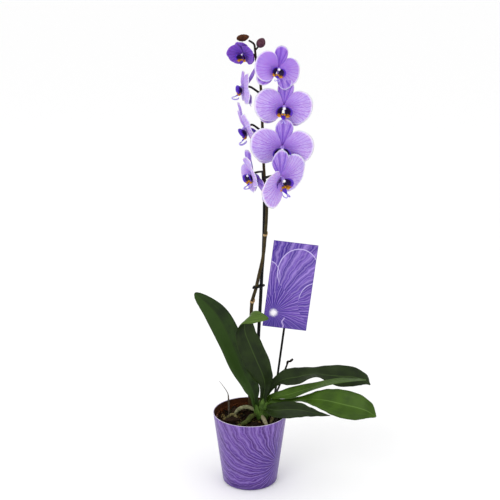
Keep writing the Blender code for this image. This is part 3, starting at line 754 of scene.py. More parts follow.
def leaf_finish(name, dark, light, under, rib, painted_lit_half=0.0):
    made, graph, shader = new_finish(name, Roughness=0.42, Specular_IOR_Level=0.16)
    u, along = graph.pattern()
    wide = graph.math("PINGPONG", graph.times(u, 2.0), 1.0)
    off_rib = graph.math("ABSOLUTE", graph.minus(wide, 0.5))
    cloud = graph.mottling(0.022, 1.2)
    grain_place = graph.point(graph.times(wide, 70.0), graph.times(along, 3.0))
    lines = graph.noise(grain_place, 1.0)
    green = graph.mix(graph.times(cloud["Patches"], 0.7), tint(dark), tint(light))
    green = graph.wash(green, lines, 0.35, 0.75, 0.4, light)
    # painted light: one half of the folded blade is painted lighter, as the half that faces the light
    green = graph.stain(green, graph.span(wide, 0.5, 0.46), painted_lit_half, light)
    groove = graph.span(off_rib, 0.035, 0.0)
    green = graph.stain(green, groove, 0.75, rib)
    green = graph.wash(green, off_rib, 0.47, 0.5, 0.7, rib)
    green = graph.wash(green, along, 0.16, 0.02, 0.6, rib)
    below = graph.math("GREATER_THAN", u, 0.5)
    back = graph.mix(graph.span(lines, 0.3, 0.8), tint(under), tint(light))
    graph.paint(shader, graph.mix(below, green, back))
    height = graph.plus(graph.times(lines, 0.5), graph.times(groove, -0.8))
    graph.relief(shader, height, 0.35, 0.0006)
    graph.feed(shader.inputs["Roughness"], graph.span(cloud["Grain"], 0.25, 0.75, 0.36, 0.52))
    return made


# One leaf green in shaded and lit copies: the dark finish is painted shade for leaves turned from the light,
# the light finish is painted light for leaves whose upper faces catch it
shaded_leaf = leaf_finish("leaf_dark", "0f1a06", "27380f", "54702a", "3c5022")
# the tall leaf's last value is the strength of its painted light on one half
tall_leaf = leaf_finish("leaf_tall", "0d1804", "2b4411", "4c6a24", "283c10", 0.75)
lit_leaf = leaf_finish("leaf_light", "283f0a", "426012", "4e6c26", "5a7830")
print("leaf finishes:", shaded_leaf.name, tall_leaf.name, lit_leaf.name)

# %% Six leaves
LEAF_WALL = 0.0020
SHEATH_WIDTH = 0.0088
SHEATH_FOLD = 62.0
LEAVES = {
    "leaf_tall_left": (
        [crown_side(180, 0.031), (0.0045, 0.004, 0.053), (-0.011, 0.01, 0.0875), (-0.0325, 0.015, 0.14),
         (-0.057, 0.017, 0.186), (-0.091, 0.011, 0.2235)],
        [(0.75, 0.1, 0.6), (0.8, 0.1, 0.55), (0.84, 0.05, 0.54), (0.88, 0.0, 0.47), (0.8, 0.0, 0.6),
         (0.7, 0.0, 0.71)], 0.0235, 30,
        (0.16, 0.66, 0.95, 1.0, 0.78),
        tall_leaf, "leaf"),
    "leaf_folded": (
        [(CROWN_PLACE[0], CROWN_PLACE[1] - 0.001, 0.0378), (0.0253, -0.003, 0.0648),
         (0.0208, -0.009, 0.0875), (0.0112, -0.014, 0.1125), (0.0005, -0.017, 0.1405),
         (-0.0085, -0.019, 0.1665), (-0.007, -0.028, 0.189), (0.0081, -0.038, 0.1985),
         (0.0298, -0.048, 0.1985)],
        [(1.0, -0.1, 0.0), (1.0, -0.1, 0.0), (0.95, -0.1, 0.2), (0.9, 0.0, 0.35), (0.9, 0.0, 0.35),
         (0.9, 0.1, 0.4), (0.75, 0.45, 0.5), (0.4, 0.35, 0.85), (0.25, 0.3, 0.92)], 0.0225, 20,
        (0.2, 0.45, 0.85, 1.0, 0.95, 0.8, 0.62, 0.62, 0.45),
        shaded_leaf, "leaf"),
    "leaf_right_back": (
        [crown_side(42, 0.041), (0.0475, 0.016, 0.0615), (0.0629, 0.018, 0.0675), (0.08, 0.02, 0.0694),
         (0.0955, 0.024, 0.0718), (0.1127, 0.027, 0.0721), (0.1318, 0.03, 0.069),
         (0.1541, 0.031, 0.0667), (0.1747, 0.031, 0.0657), (0.1934, 0.028, 0.062),
         (0.2057, 0.024, 0.0541)],
        [(0.2, -0.85, -0.5), (0.2, -0.8, -0.6), (0.1, -0.78, -0.62), (0.0, -0.84, -0.54),
         (0.0, -0.94, -0.34), (0.0, -0.98, -0.18), (0.0, -0.85, -0.52), (0.05, -0.6, -0.8),
         (0.2, -0.55, -0.8), (0.3, -0.55, -0.75), (0.4, -0.6, -0.6)], 0.0205, 20,
        (0.25, 0.58, 0.86, 0.92, 0.82, 0.8, 0.9, 1.0, 0.98, 0.80, 0.45),
        shaded_leaf, "leaf"),
    "leaf_right_edge": (
        [crown_side(5, 0.0372), (0.05, -0.006, 0.0452), (0.07, -0.008, 0.051), (0.09, -0.007, 0.057),
         (0.11, -0.008, 0.063), (0.1342, -0.008, 0.07), (0.156, -0.006, 0.0738),
         (0.1766, -0.002, 0.0742), (0.1956, 0.002, 0.0725)],
        [(0.0, -0.9, -0.42), (0.0, -0.9, -0.42), (0.0, -0.91, -0.4), (0.0, -0.96, -0.25),
         (0.0, -1.0, 0.0), (0.0, -0.99, 0.1), (0.0, -0.99, 0.1), (0.0, -0.99, 0.12), (0.0, -0.98, 0.15)],
        0.015, 14,
        (0.3, 0.70, 0.95, 0.90, 0.95, 1.0, 1.0, 0.85, 0.45),
        lit_leaf, "leaf"),
    "leaf_right_front": (
        [crown_side(-28, 0.031), (0.0588, -0.014, 0.0375), (0.0821, -0.018, 0.044),
         (0.0969, -0.022, 0.0466), (0.1116, -0.028, 0.049), (0.1277, -0.036, 0.0505),
         (0.1436, -0.045, 0.0505), (0.1594, -0.054, 0.05), (0.1752, -0.061, 0.049),
         (0.1909, -0.068, 0.0462), (0.2052, -0.074, 0.0387)],
        [(-0.1, -1.0, -0.1), (-0.1, -1.0, -0.1), (0.0, -1.0, -0.1), (0.0, -0.95, -0.3),
         (0.0, -0.85, -0.5), (0.05, -0.78, -0.62), (0.1, -0.72, -0.7), (0.1, -0.7, -0.7),
         (0.2, -0.65, -0.7), (0.25, -0.62, -0.7), (0.3, -0.6, -0.7)], 0.0255, 18,
        (0.15, 0.28, 0.36, 0.48, 0.64, 0.8, 0.93, 1.0, 1.0, 0.88, 0.5),
        lit_leaf, "leaf_light"),
    "leaf_right_low": (
        [crown_side(-62, 0.024), (0.0435, -0.026, 0.029), (0.0633, -0.033, 0.0335),
         (0.0831, -0.038, 0.035), (0.0995, -0.043, 0.0335), (0.1159, -0.047, 0.0315),
         (0.133, -0.05, 0.03)],
        [(-0.5, -0.6, -0.6), (-0.2, -0.45, -0.87), (0.0, -0.35, -0.93), (0.0, -0.35, -0.93),
         (0.0, -0.45, -0.88), (0.0, -0.6, -0.8), (0.0, -0.6, -0.8)], 0.015, 18,
        (0.35, 0.9, 1.0, 0.85, 0.55, 0.3, 0.15),
        shaded_leaf, "leaf"),
}


def blade_width(along, shares):
    """A leaf's width, as a share of its widest: evenly spaced shares, rounded off at the tip."""
    place = along * (len(shares) - 1)
    low = min(int(place), len(shares) - 2)
    width = shares[low] + (shares[low + 1] - shares[low]) * eased(place - low, 0.0, 1.0)
    return width * math.sqrt(max(1.0 - along ** 7, 0.0))


def leaf_blade(spine, across, half_width, fold, shares, rows=84):
    """A leaf with its sheath, as a closed blade."""
    start = Vector(spine[0])
    middle = Vector((*CROWN_PLACE, 0.0))
    outward = Vector((start.x - middle.x, start.y - middle.y, 0.0))
    foot = middle + outward * 0.35 + Vector((0.0, 0.0, 0.003))
    neck = middle + outward * 0.72 + Vector((0.0, 0.0, start.z * 0.52))
    steps = 6 * rows
    path = planted(route([foot, neck, *spine], steps + 1))
    sideways = [side.normalized() for side in route([across[0], across[0], *across], steps + 1)]
    sheath = 2 / (len(spine) + 1)

    def shape(u, v):
        v = 1 - (1 - v) ** 1.6
        row = round(v * steps)
        tangent = (path[min(row + 3, steps)] - path[max(row - 3, 0)]).normalized()
        side = (sideways[row] - tangent * sideways[row].dot(tangent)).normalized()
        upward = side.cross(tangent)
        open_share = max((v - sheath) / (1 - sheath), 0.0)
        strap = half_width * blade_width(open_share, shares)
        if v < sheath:
            strap *= v / sheath
        clasp = SHEATH_WIDTH * (1 - eased(open_share, 0.0, 0.4)) * eased(v, -0.001, 0.05)
        width = (strap ** 4 + clasp ** 4) ** 0.25
        share = 2 * u - 1
        rise = math.radians(fold * (1.0 - 0.45 * open_share)
                            + (SHEATH_FOLD - fold) * (1 - eased(v, sheath * 0.6, sheath + 0.22)))
        droop = 0.0010 * math.sin(9 * v + 4 * share) * abs(share)
        valley = math.sqrt(share * share + 0.02) - math.sqrt(0.02)
        return (path[row] + side * (share * width * math.cos(rise))
                + upward * (valley * width * math.sin(rise) + droop), upward)

    return blade(shape, LEAF_WALL, 14, rows)


for name, (spine, across, half_width, fold, shares, finish, slot) in LEAVES.items():
    assembled("orchid_" + name, [(leaf_blade(spine, across, half_width, fold, shares), finish)], slot, name)
print("leaves:", len(LEAVES))

# %% [markdown]
# ## The crown and the roots
# The leaves grow from a stem a few centimetres tall, hidden in old sheaths. It is a short turned body with
# a ridge for each sheath. The thick aerial roots are covered in a spongy grey skin that turns green when
# wet: stems with an uneven radius and a mottled finish.

# %% Crown
def grown_finish(name, dark, light, grain_colour, size, roughness, depth):
    """A mottled natural skin: bark-like stems, roots, sheaths and buds."""
    made, graph, shader = new_finish(name, Roughness=roughness)
    cloud = graph.mottling(size, 1.1)
    skin = graph.patchy(cloud, dark, light)
    skin = graph.wash(skin, cloud["Grain"], 0.5, 0.72, 0.6, grain_colour)
    graph.paint(shader, skin)
    graph.relief(shader, cloud["Grain"], 0.5, depth)
    graph.polish(shader, cloud, roughness - 0.1, roughness + 0.05)
    return made


def round_crown(turn, reach, height):
    """A point beside the crown, which is wider across the fan of leaves than through it."""
    return on_bark((CROWN_PLACE[0] + 1.15 * reach * math.cos(turn),
                    CROWN_PLACE[1] + 0.9 * reach * math.sin(turn), height))


def crown_body(u, v):
    """The stem, with overlapping ridges."""
    turn = 2 * math.pi * u
    height = 0.001 + (CROWN_HEIGHT + 0.004) * v
    ridge = 1 + 0.05 * math.sin(26 * v + 2.0 * math.cos(turn)) + 0.05 * abs(math.cos(2 * turn))
    swell = math.sin(math.pi * min(0.20 + 0.80 * v, 1.0)) ** 0.45 if 0 < v < 1 else 0.0
    return round_crown(turn, CROWN_RADIUS * swell * ridge, height)


def old_sheath(bearing, low, high, width):
    """A sheath that clasps the stem: a thick scale, pointed at the top and bulging in the middle."""
    facing = math.radians(bearing)

    def shape(across, along):
        turn = facing + math.radians(width) * (2 * across - 1) * (1 - 0.75 * along ** 2)
        bulge = CROWN_RADIUS + 0.0012 + 0.0026 * math.sin(math.pi * min(along * 0.9 + 0.05, 1.0))
        return (round_crown(turn, bulge, low + (high - low) * along),
                Vector((math.cos(facing), math.sin(facing), 0.0)))

    return blade(shape, 0.0012, 10, 12)


SHEATHS = [(205, 0.004, 0.030, 62), (-20, 0.006, 0.034, 60), (262, 0.002, 0.022, 55), (300, 0.010, 0.036, 45)]
sheath_skin = grown_finish("crown_sheaths", "30481a", "4e6a28", "66803a", 0.008, 0.5, 0.0004)
crown_parts = [bent_sheet(crown_body, 36, 30, closed=True)] + [old_sheath(*facts) for facts in SHEATHS]
assembled("crown_stem", [(mesh, sheath_skin) for mesh in crown_parts], "crown", "crown")
print("crown", CROWN_HEIGHT, "m tall")

# %% Roots
ROOT_RADIUS = 0.0033
ROOT_LEVEL = 0.0055
ROOTS = {
    "root_arch": ([crown_side(172, 0.017), (-0.004, 0.008, 0.020), (-0.018, 0.010, 0.016),
                   (-0.028, 0.006, ROOT_LEVEL)], ("4c5034", "8a8a68", "b0a88c")),
    "root_front": ([crown_side(205, 0.012), (0.001, -0.015, 0.012), (-0.006, -0.026, 0.008),
                    (-0.020, -0.035, ROOT_LEVEL)], ("262c12", "4a5626", "6a6a3a")),
    "root_low": ([crown_side(265, 0.012), (0.024, -0.028, 0.012), (0.029, -0.040, ROOT_LEVEL)],
                 ("6d6a4c", "9c9478", "c4bba0")),
    "root_back": ([crown_side(95, 0.012), (0.020, 0.026, 0.012), (0.020, 0.038, 0.008),
                   (0.006, 0.0475, ROOT_LEVEL)], ("5c4a30", "8a7a58", "b39a78")),
}
for name, (points, colours) in ROOTS.items():
    path = planted(route(points, 44))
    girth = ROOT_RADIUS * (1.2 if name == "root_front" else 1.0)
    thickness = tapering(0.8 * girth, girth, 1.05 * girth, 0.95 * girth, 0.6 * girth)
    skin = grown_finish(name + "_skin", *colours, 0.005, 0.8, 0.0006)
    root = stem(path, thickness, 18, 0.10, len(name))
    assembled("aerial_" + name, [(root, skin)], "root", name)
STUBS = [((-0.006, 0.030, 0.0080), (0.001, 0.031, 0.0120), (0.008, 0.028, 0.0100), (0.013, 0.026, 0.0055)),
         ((-0.040, -0.006, 0.0055), (-0.031, 0.000, 0.0100), (-0.024, -0.006, 0.0090),
          (-0.020, -0.012, 0.0055)),
         ((0.034, -0.026, 0.0055), (0.038, -0.018, 0.0110), (0.036, -0.008, 0.0055))]
stub_skin = grown_finish("stub_skin", "2a2a16", "6a6440", "a08a62", 0.004, 0.85, 0.0006)
stubs = [stem(planted(route(points, 30)), tapering(0.0018, 0.0028, 0.0026, 0.0016), 14, 0.12, k)
         for k, points in enumerate(STUBS)]
assembled("old_root_stubs", [(mesh, stub_skin) for mesh in stubs], "root")
DRY_ROOT = [(-0.036, 0.012, 0.0035), (-0.0365, 0.012, 0.030), (-0.038, 0.012, 0.044),
            (-0.045, 0.012, 0.056), (-0.052, 0.012, 0.066)]
dry_skin = grown_finish("dry_skin", "2a2018", "5c5246", "8a8074", 0.006, 0.85, 0.0003)
dry = stem(planted(route(DRY_ROOT, 40)), tapering(0.0017, 0.0015, 0.0007, 0.0005, 0.0003),
           12, 0.08, 2)
assembled("dried_root", [(dry, dry_skin)], "dry_stem", "dry_root")
print("roots:", len(ROOTS) + 1)

# %% [markdown]
# ## The flower stem, its stake and the small wires
# The flower stem is a long curve that leans on a thin black stake and then arches over under the weight
# of the flowers. Where each flower or bract grows there is a node: a pale ring and a small dry scale.
# A clip holds the stem to the stake. All of these are stems on smooth routes, the same ones that the fixed
# model follows.

# %% Routes of the stem and the stake
SPIKE_POINTS = [
    (0.0020, 0.022, 0.006), (-0.0005, 0.0265, 0.034), (0.0000, 0.0250, 0.098),
    (0.0017, 0.018, 0.173), (0.0035, 0.014, 0.206), (0.0099, 0.012, 0.231),
    (0.0148, 0.010, 0.2545), (0.0197, 0.010, 0.277), (0.0229, 0.010, 0.297),
    (0.0250, 0.010, 0.323), (0.0268, 0.010, 0.352), (0.0268, 0.010, 0.381),
    (0.0225, 0.008, 0.431), (0.0193, 0.006, 0.512), (0.0168, 0.004, 0.566),
    (0.0141, 0.002, 0.5835), (0.0101, 0.000, 0.602), (0.0080, 0.000, 0.620),
    (0.0062, 0.000, 0.631), (-0.0020, 0.000, 0.637),
]
STAKE_POINTS = [
    (0.0103, 0.0300, 0.004), (0.0119, 0.0255, 0.081), (0.0145, 0.0215, 0.1475),
    (0.0175, 0.0190, 0.2085), (0.0199, 0.0185, 0.2607), (0.0222, 0.0185, 0.295),
    (0.0236, 0.0185, 0.380), (0.0212, 0.0185, 0.424),
]
SPIKE_RADII = (0.0031, 0.0028, 0.0023, 0.0015)
STAKE_RADIUS = 0.0026
CLIP_HEIGHT = 0.2335
CLIP_WIRE = 0.0009
CLIP_GAP = 0.0004
NODE_HEIGHTS = (0.112, 0.2069, 0.3227)
spike_path = route(SPIKE_POINTS, 190)
stake_path = route(STAKE_POINTS, 60)


def at_height(path, height):
    """The point of a rising path at a height, and the way the path runs there."""
    for low, high in zip(path, path[1:]):
        if low.z <= height < high.z:
            return low.lerp(high, (height - low.z) / (high.z - low.z)), (high - low).normalized()
    return path[-1], (path[-1] - path[-2]).normalized()


def pointing(direction):
    """A turn that brings +Z to a direction."""
    return Vector(direction).to_track_quat("Z", "Y").to_matrix()


print("stem", len(spike_path), "points, stake", len(stake_path), "points")

# %% Flower stem with its nodes
def plain_plastic(name, code, roughness, grain):
    made, graph, shader = new_finish(name, Roughness=roughness)
    cloud = graph.mottling(grain, 1.0)
    colour = graph.mix(graph.times(cloud["Grain"], 0.30), tint(code), tint("262628"))
    graph.paint(shader, colour)
    graph.polish(shader, cloud, roughness - 0.08, roughness + 0.1)
    return made


def spike_finish():
    made, graph, shader = new_finish("flower_stem_skin", Roughness=0.45)
    _, along = graph.pattern()
    cloud = graph.mottling(0.009, 1.3)
    green = graph.patchy(cloud, "22220f", "3c3e1c")
    brown = graph.patchy(cloud, "2c1812", "45281c")
    skin = graph.mix(graph.span(cloud["Grain"], 0.42, 0.62), green, brown)
    skin = graph.wash(skin, along, 0.80, 0.97, 0.8, "1c1416")
    graph.paint(shader, skin)
    graph.relief(shader, cloud["Grain"], 0.4, 0.0003)
    return made


black_plastic = plain_plastic("black_plastic", "070708", 0.42, 0.01)
node_ring = grown_finish("node_rings", "8a6a44", "c2a678", "5a3a22", 0.003, 0.6, 0.0002)
stem_skin = spike_finish()


def spike_radius(along):
    radius = tapering(*SPIKE_RADII)(along)
    here = spike_path[round(along * (len(spike_path) - 1))].z
    swelling = sum(math.exp(-((here - height) / 0.004) ** 2) for height in NODE_HEIGHTS)
    return radius * (1 + 0.22 * swelling)


def bract(height, size):
    """The scale at a node: a ring round the stem and a small pointed flap above it."""
    centre, up = at_height(spike_path, height)
    turn = pointing(up)
    wide = tapering(*SPIKE_RADII)(height / spike_path[-1].z) * 1.32
    ring = [centre + up * (0.0016 * (k - 2) / 2) for k in range(5)]
    band = stem(planted(ring), tapering(0.97 * wide, 1.06 * wide, 0.97 * wide), 18)
    flap = blob(on_bark(centre + turn @ Vector((0.0, -wide * 0.95, size * 0.5))),
                (wide * 0.62, wide * 0.22, size * 0.6), turn, 8)
    return [(band, node_ring), (flap, node_ring)]


parts = [(stem(planted(spike_path), spike_radius, 18, 0.03), stem_skin)]
for height in NODE_HEIGHTS:
    parts += bract(height, 0.006)
assembled("flower_stem", parts, "spike", "flower_spike")
print("flower stem with", len(NODE_HEIGHTS), "nodes")

# %% Stake, clip, card stick, hoop and cut stem
stake = stem(planted(stake_path), lambda along: 1.1 * STAKE_RADIUS, 14)
assembled("plant_stake", [(stake, black_plastic)], "black_plastic", "stake")

clip_ends = [at_height(path, CLIP_HEIGHT)[0] for path in (spike_path, stake_path)]
clip_along = (clip_ends[1] - clip_ends[0]).normalized()
clip_beside = Vector((0.0, 0.0, 1.0)).cross(clip_along)
clip_reach = [radius + CLIP_WIRE + CLIP_GAP for radius in (SPIKE_RADII[0], STAKE_RADIUS)]


def clip_loop():
    """A wire that goes round the stem and the stake."""
    loop = []
    for end, start in ((0, 90), (1, -90)):
        for step in range(15):
            turn = math.radians(start + 180 * step / 14)
            loop.append(clip_ends[end] + clip_reach[end] * (clip_along * math.cos(turn)
                                                            + clip_beside * math.sin(turn)))
    return loop + loop[:2]


clip_parts = [(stem(planted(clip_loop()), lambda along: CLIP_WIRE * 1.6, 12), black_plastic)]
for end, way in ((0, -1), (1, 1)):
    root = clip_ends[end] + way * clip_along * (clip_reach[end] + 0.0003)
    tab = [root + way * clip_along * 0.0006 * k + Vector((0, 0, -0.0002 * k)) for k in range(6)]
    clip_parts.append((stem(planted(tab), tapering(0.0018, 0.0021, 0.0014), 12), black_plastic))
bridge = [clip_ends[0].lerp(clip_ends[1], 0.35 + 0.3 * k / 5) for k in range(6)]
clip_parts.append((stem(planted(bridge), tapering(0.0012, 0.0017, 0.0012), 12), black_plastic))
assembled("stem_clip", clip_parts, "black_plastic", "stake_clip")

CARD_WIDTH = 0.074
CARD_HEIGHT = 0.150
CARD_WALL = 0.0007
CARD_CURL = 0.0006
CARD_LEAN = math.radians(7.1)
CARD_CENTRE = Vector((0.0668, 0.020, 0.2325))
CARD_STICK_RADIUS = 0.0017
CARD_STICK_FOOT = Vector((0.0395, 0.034, 0.005))
card_down = Vector((-math.sin(CARD_LEAN), 0.0, -math.cos(CARD_LEAN)))
stick_top = CARD_CENTRE + Vector((0.0, CARD_WALL / 2 + CARD_STICK_RADIUS + 0.0003, 0.0))
stick_bend = stick_top + card_down * (CARD_HEIGHT / 2 + 0.006)
stick = [stick_top.lerp(stick_bend, k / 20) for k in range(20)]
stick += [stick_bend.lerp(CARD_STICK_FOOT, k / 30) for k in range(31)]
assembled("card_holder", [(stem(planted(stick), lambda along: 1.15 * CARD_STICK_RADIUS, 12),
                           black_plastic)], "black_plastic", "card_stick")

HOOP_POINTS = [(0.0266, 0.028, 0.004), (0.0270, 0.028, 0.035), (0.0282, 0.028, 0.055),
               (0.0325, 0.027, 0.0630), (0.0380, 0.026, 0.0650), (0.0425, 0.025, 0.0600),
               (0.0440, 0.0245, 0.0500), (0.0440, 0.0245, 0.030), (0.0435, 0.0245, 0.004)]
hoop = stem(planted(route(HOOP_POINTS, 70)), lambda along: 0.0007, 10)
assembled("thin_hoop", [(hoop, plain_plastic("hoop_wire", "101010", 0.4, 0.006))], "wire", "wire_hoop")

CUT_STEM = [(0.031, 0.038, 0.006), (0.048, 0.038, 0.040), (0.0580, 0.037, 0.0700),
            (0.0630, 0.037, 0.0850), (0.0650, 0.037, 0.0915), (0.0685, 0.037, 0.0920),
            (0.0734, 0.037, 0.0960)]
cut_skin = grown_finish("cut_stem_skin", "0c0806", "1e1410", "2e2018", 0.004, 0.8, 0.0004)
cut_path = planted(route(CUT_STEM, 60))
cut_radius = tapering(0.0017, 0.0016, 0.0017, 0.0018, 0.0015, 0.0023, 0.0014, 0.0022, 0.0018)
assembled("cut_stem", [(stem(cut_path, cut_radius, 14, 0.08, 3), cut_skin)], "dry_stem", "cut_spike")
print("stake, clip, card stick, hoop and cut stem are in place")

# %% [markdown]
# ## The card
# The care card is a stiff printed sheet. Its print is one flower seen very near: fans of veins that all
# start at a pale spot low on the left, and the bright outlines of three rounded petals. Places on the card
# are millimetres from its lower left corner; an ellipse in those units is a petal. Words are left out.

# %% Card
CARD_SPOT = (15.5, 25.3)
CARD_PETALS = [((47.0, 100.0), (34.0, 40.0)), ((-2.0, 82.0), (20.5, 32.0)), ((79.0, 50.0), (25.0, 34.0))]


def card_print():
    made, graph, shader = new_finish("card_print", Roughness=0.36, Specular_IOR_Level=0.3)
    u, v = graph.pattern()
    x = graph.times(u, CARD_WIDTH * 1000)
    y = graph.times(v, CARD_HEIGHT * 1000)
    right = graph.minus(x, CARD_SPOT[0])
    above = graph.minus(y, CARD_SPOT[1])
    distance = graph.length(right, above)
    bearing = graph.math("ARCTAN2", above, right)
    along = graph.over(distance, 100.0)
    cloud = graph.mottling(0.014, 1.2)
    far = graph.span(along, 0.1, 1.0)
    ground = graph.mix(graph.span(x, 10.0, 70.0), tint("3c2092"), tint("7e5abe"))
    outline = 0.0
    bend = graph.times(distance, 0.002)
    for number, ((cx, cy), (rx, ry)) in enumerate(CARD_PETALS):
        ex = graph.over(graph.minus(x, cx), rx)
        ey = graph.over(graph.minus(y, cy), ry)
        out = graph.length(ex, ey)
        inside = graph.span(out, 1.01, 0.99)
        petal = graph.mix(far, tint("44289a"), tint("8a6ac8") if number == 0 else tint("7a56b6"))
        ground = graph.mix(inside, ground, petal)
        bend = graph.times_plus(inside, 0.13 * (number + 1), bend)
        rim = graph.span(graph.math("ABSOLUTE", graph.minus(out, 1.0)), 0.03, 0.008)
        fade_from, fade_to = (70.0, 90.0) if number < 2 else (48.0, 64.0)
        rim = graph.times(rim, graph.span(y, fade_from, fade_to))
        outline = graph.math("MAXIMUM", rim, outline)
    swept = graph.plus(bearing, bend)
    broad = graph.veins(swept, along, 3.5, 0.12, 0.40)
    fine = graph.veins(swept, along, 8.0, 0.10, 0.32, 3.0)
    ground = graph.stain(ground, cloud["Patches"], 0.30, "66349a")
    ground = graph.stain(ground, broad, 0.78, "2c1478")
    ground = graph.stain(ground, fine, 0.50, "40258c")
    light = graph.veins(swept, along, 6.0, 0.14, 0.24, 7.0)
    ground = graph.stain(ground, light, 0.45, "b49ae0")
    ground = graph.stain(ground, outline, 0.75, "cfc2ee")
    ground = graph.wash(ground, y, 26.0, 6.0, 0.55, "3c2a86")
    tendril_sway = graph.times(graph.math("SINE", graph.times(y, 0.42)), 1.6)
    tendril = graph.math("ABSOLUTE", graph.minus(graph.minus(x, 33.0), tendril_sway))
    tendril = graph.times(graph.span(tendril, 1.6, 0.6), graph.span(y, 20.0, 17.0))
    ground = graph.stain(ground, tendril, 0.7, "c3b0e4")
    glow = graph.minus(distance, graph.times(cloud["Grain"], 6.0))
    ground = graph.wash(ground, glow, 6.0, -1.0, 1.0, "f2f0f4")
    edge = graph.math("MINIMUM", graph.math("MINIMUM", u, graph.minus(1.0, u)),
                      graph.times(graph.math("MINIMUM", v, graph.minus(1.0, v)), 2.0))
    ground = graph.wash(ground, edge, 0.016, 0.004, 0.7, "3d1f86")
    graph.paint(shader, ground)
    graph.polish(shader, cloud, 0.30, 0.42)
    return made


def card_point(u, v):
    """A point of the card's middle sheet: nearly flat, a breath of curl at the corners."""
    x, z = (u - 0.5) * CARD_WIDTH, (v - 0.5) * CARD_HEIGHT
    curl = CARD_CURL * (abs(2 * v - 1) ** 3) - CARD_CURL / 3
    lean = Matrix.Rotation(CARD_LEAN, 3, "Y")
    return on_bark(CARD_CENTRE + lean @ Vector((x, -curl, z)))


card = settled(bent_sheet(card_point, 24, 48), ("SOLIDIFY", {"thickness": CARD_WALL, "offset": 0.0}),
               ("BEVEL", {"width": 0.0002, "segments": 2, "limit_method": "ANGLE"}))
assembled("care_card", [(card, card_print())], "card_print", "card")
print("card", CARD_WIDTH, "by", CARD_HEIGHT)

# %% [markdown]
# ## The flowers
# A moth orchid's flower has five spread parts and a lip. Three narrow sepals sit behind, one up and two
# down; two broad petals lie over them like wings. The lip is the third petal, folded into a cup: two side
# lobes stand up round the column, and a pointed middle lobe ends in two curled tendrils. The column, with
# a white cap, joins all of them. Each part is a closed blade whose outline is a fan: a bearing, how far
# it spreads to each side, and a length.

# %% Petal finishes


def petal_finish(name, pale, full, vein, rim, count, base_share, stripe=0.0):
    """Fanned veins over a wash that is deepest at the base; across 1 is the upper edge."""
    made, graph, shader = new_finish(name, Roughness=0.52, Sheen_Weight=0.12, Subsurface_Weight=0.12,
                                     Subsurface_Scale=0.002)
    u, along = graph.pattern()
    wide = graph.math("PINGPONG", graph.times(u, 2.0), 1.0)
    across = graph.times_plus(wide, 2.0, -1.0)
    fan = graph.math("ARCSINE", graph.times(across, 0.999))
    cloud = graph.mottling(0.008, 1.2)
    ground = graph.mix(graph.times(cloud["Patches"], 0.35), tint(pale), tint(full))
    ground = graph.wash(ground, along, 0.75, 0.05, base_share, full)
    ground = graph.wash(ground, wide, 0.55, 1.0, 0.35, full)
    height = graph.add("ShaderNodeSeparateXYZ", {0: graph.place()}).outputs[2]
    ground = graph.wash(ground, height, 0.655, 0.73, 0.65, full)
    ground = graph.stain(ground, graph.math("GREATER_THAN", u, 0.5), 0.55, full)
    veins = graph.veins(fan, along, count, 0.10, 0.34)
    net = graph.veins(fan, along, 1.7 * count, 0.30, 0.30, 5.0)
    veins = graph.math("MAXIMUM", veins, graph.times(net, 0.75))
    strength = graph.span(along, 1.0, 0.30, 0.60, 0.85)
    ground = graph.stain(ground, veins, strength, vein)
    if stripe:
        stripes = graph.math("SINE", graph.times(across, 19.0))
        ground = graph.wash(ground, stripes, 0.1, 0.9, stripe, vein)
    ground = graph.wash(ground, along, 0.90, 1.0, 0.85, rim)
    graph.paint(shader, ground)
    height = graph.minus(cloud["Grain"], graph.times(veins, 0.6))
    graph.relief(shader, height, 0.25, 0.0005)
    return made


petal_skin = petal_finish("petal_lilac", "d4c8f0", "9474d4", "8a3fc6", "f6f2fd", 11.0, 0.85)
sepal_skin = petal_finish("sepal_lilac", "c6aaec", "976ad8", "5f2cb2", "e6dcfa", 7.0, 0.8, 0.60)
young_skin = petal_finish("petal_young", "9c6edc", "6e3fbc", "3c187a", "8a62d0", 7.0, 0.7)
print("petal finishes:", petal_skin.name, sepal_skin.name, young_skin.name)

# %% Lip and column finishes


def lip_side_finish():
    """Violet outside; inside nearly black towards the base, gold at the lower corner."""
    made, graph, shader = new_finish("lip_side", Roughness=0.38, Coat_Weight=0.15, Coat_Roughness=0.3)
    u, along = graph.pattern()
    wide = graph.math("PINGPONG", graph.times(u, 2.0), 1.0)
    cloud = graph.mottling(0.0035, 1.2)
    violet = graph.patchy(cloud, "4a22b4", "6a42cc")
    dark = graph.patchy(cloud, "12061e", "2a1450")
    reach = graph.times_plus(graph.minus(cloud["Grain"], 0.5), 0.5, along)
    skin = graph.mix(graph.span(reach, 0.90, 0.70), violet, dark)
    gold = graph.patchy(cloud, "c98414", "7a3c0c")
    corner = graph.times(graph.span(wide, 0.30, 0.20), graph.span(along, 0.45, 0.60))
    skin = graph.mix(corner, skin, gold)
    graph.paint(shader, skin)
    graph.relief(shader, cloud["Grain"], 0.3, 0.0003)
    return made


lip_skin = lip_side_finish()
lip_tongue = grown_finish("lip_tongue", "4420b2", "6a44d0", "2a1470", 0.004, 0.4, 0.0002)
lip_gold = grown_finish("lip_gold", "c07c14", "dca024", "6a2c0c", 0.0015, 0.45, 0.0002)
tendril_skin = grown_finish("tendril_skin", "8f78d8", "c8bcec", "6a50c0", 0.003, 0.5, 0.0001)
column_skin = grown_finish("column_skin", "8a6cc8", "bda6e4", "6a3cac", 0.003, 0.45, 0.0002)
cap_skin = grown_finish("anther_cap", "e6e2ea", "fbf9fc", "cdbfe0", 0.003, 0.4, 0.0001)
stalk_skin = grown_finish("stalk_skin", "15170c", "2c2a18", "3a2230", 0.004, 0.5, 0.0002)
print("lip and column finishes are ready")

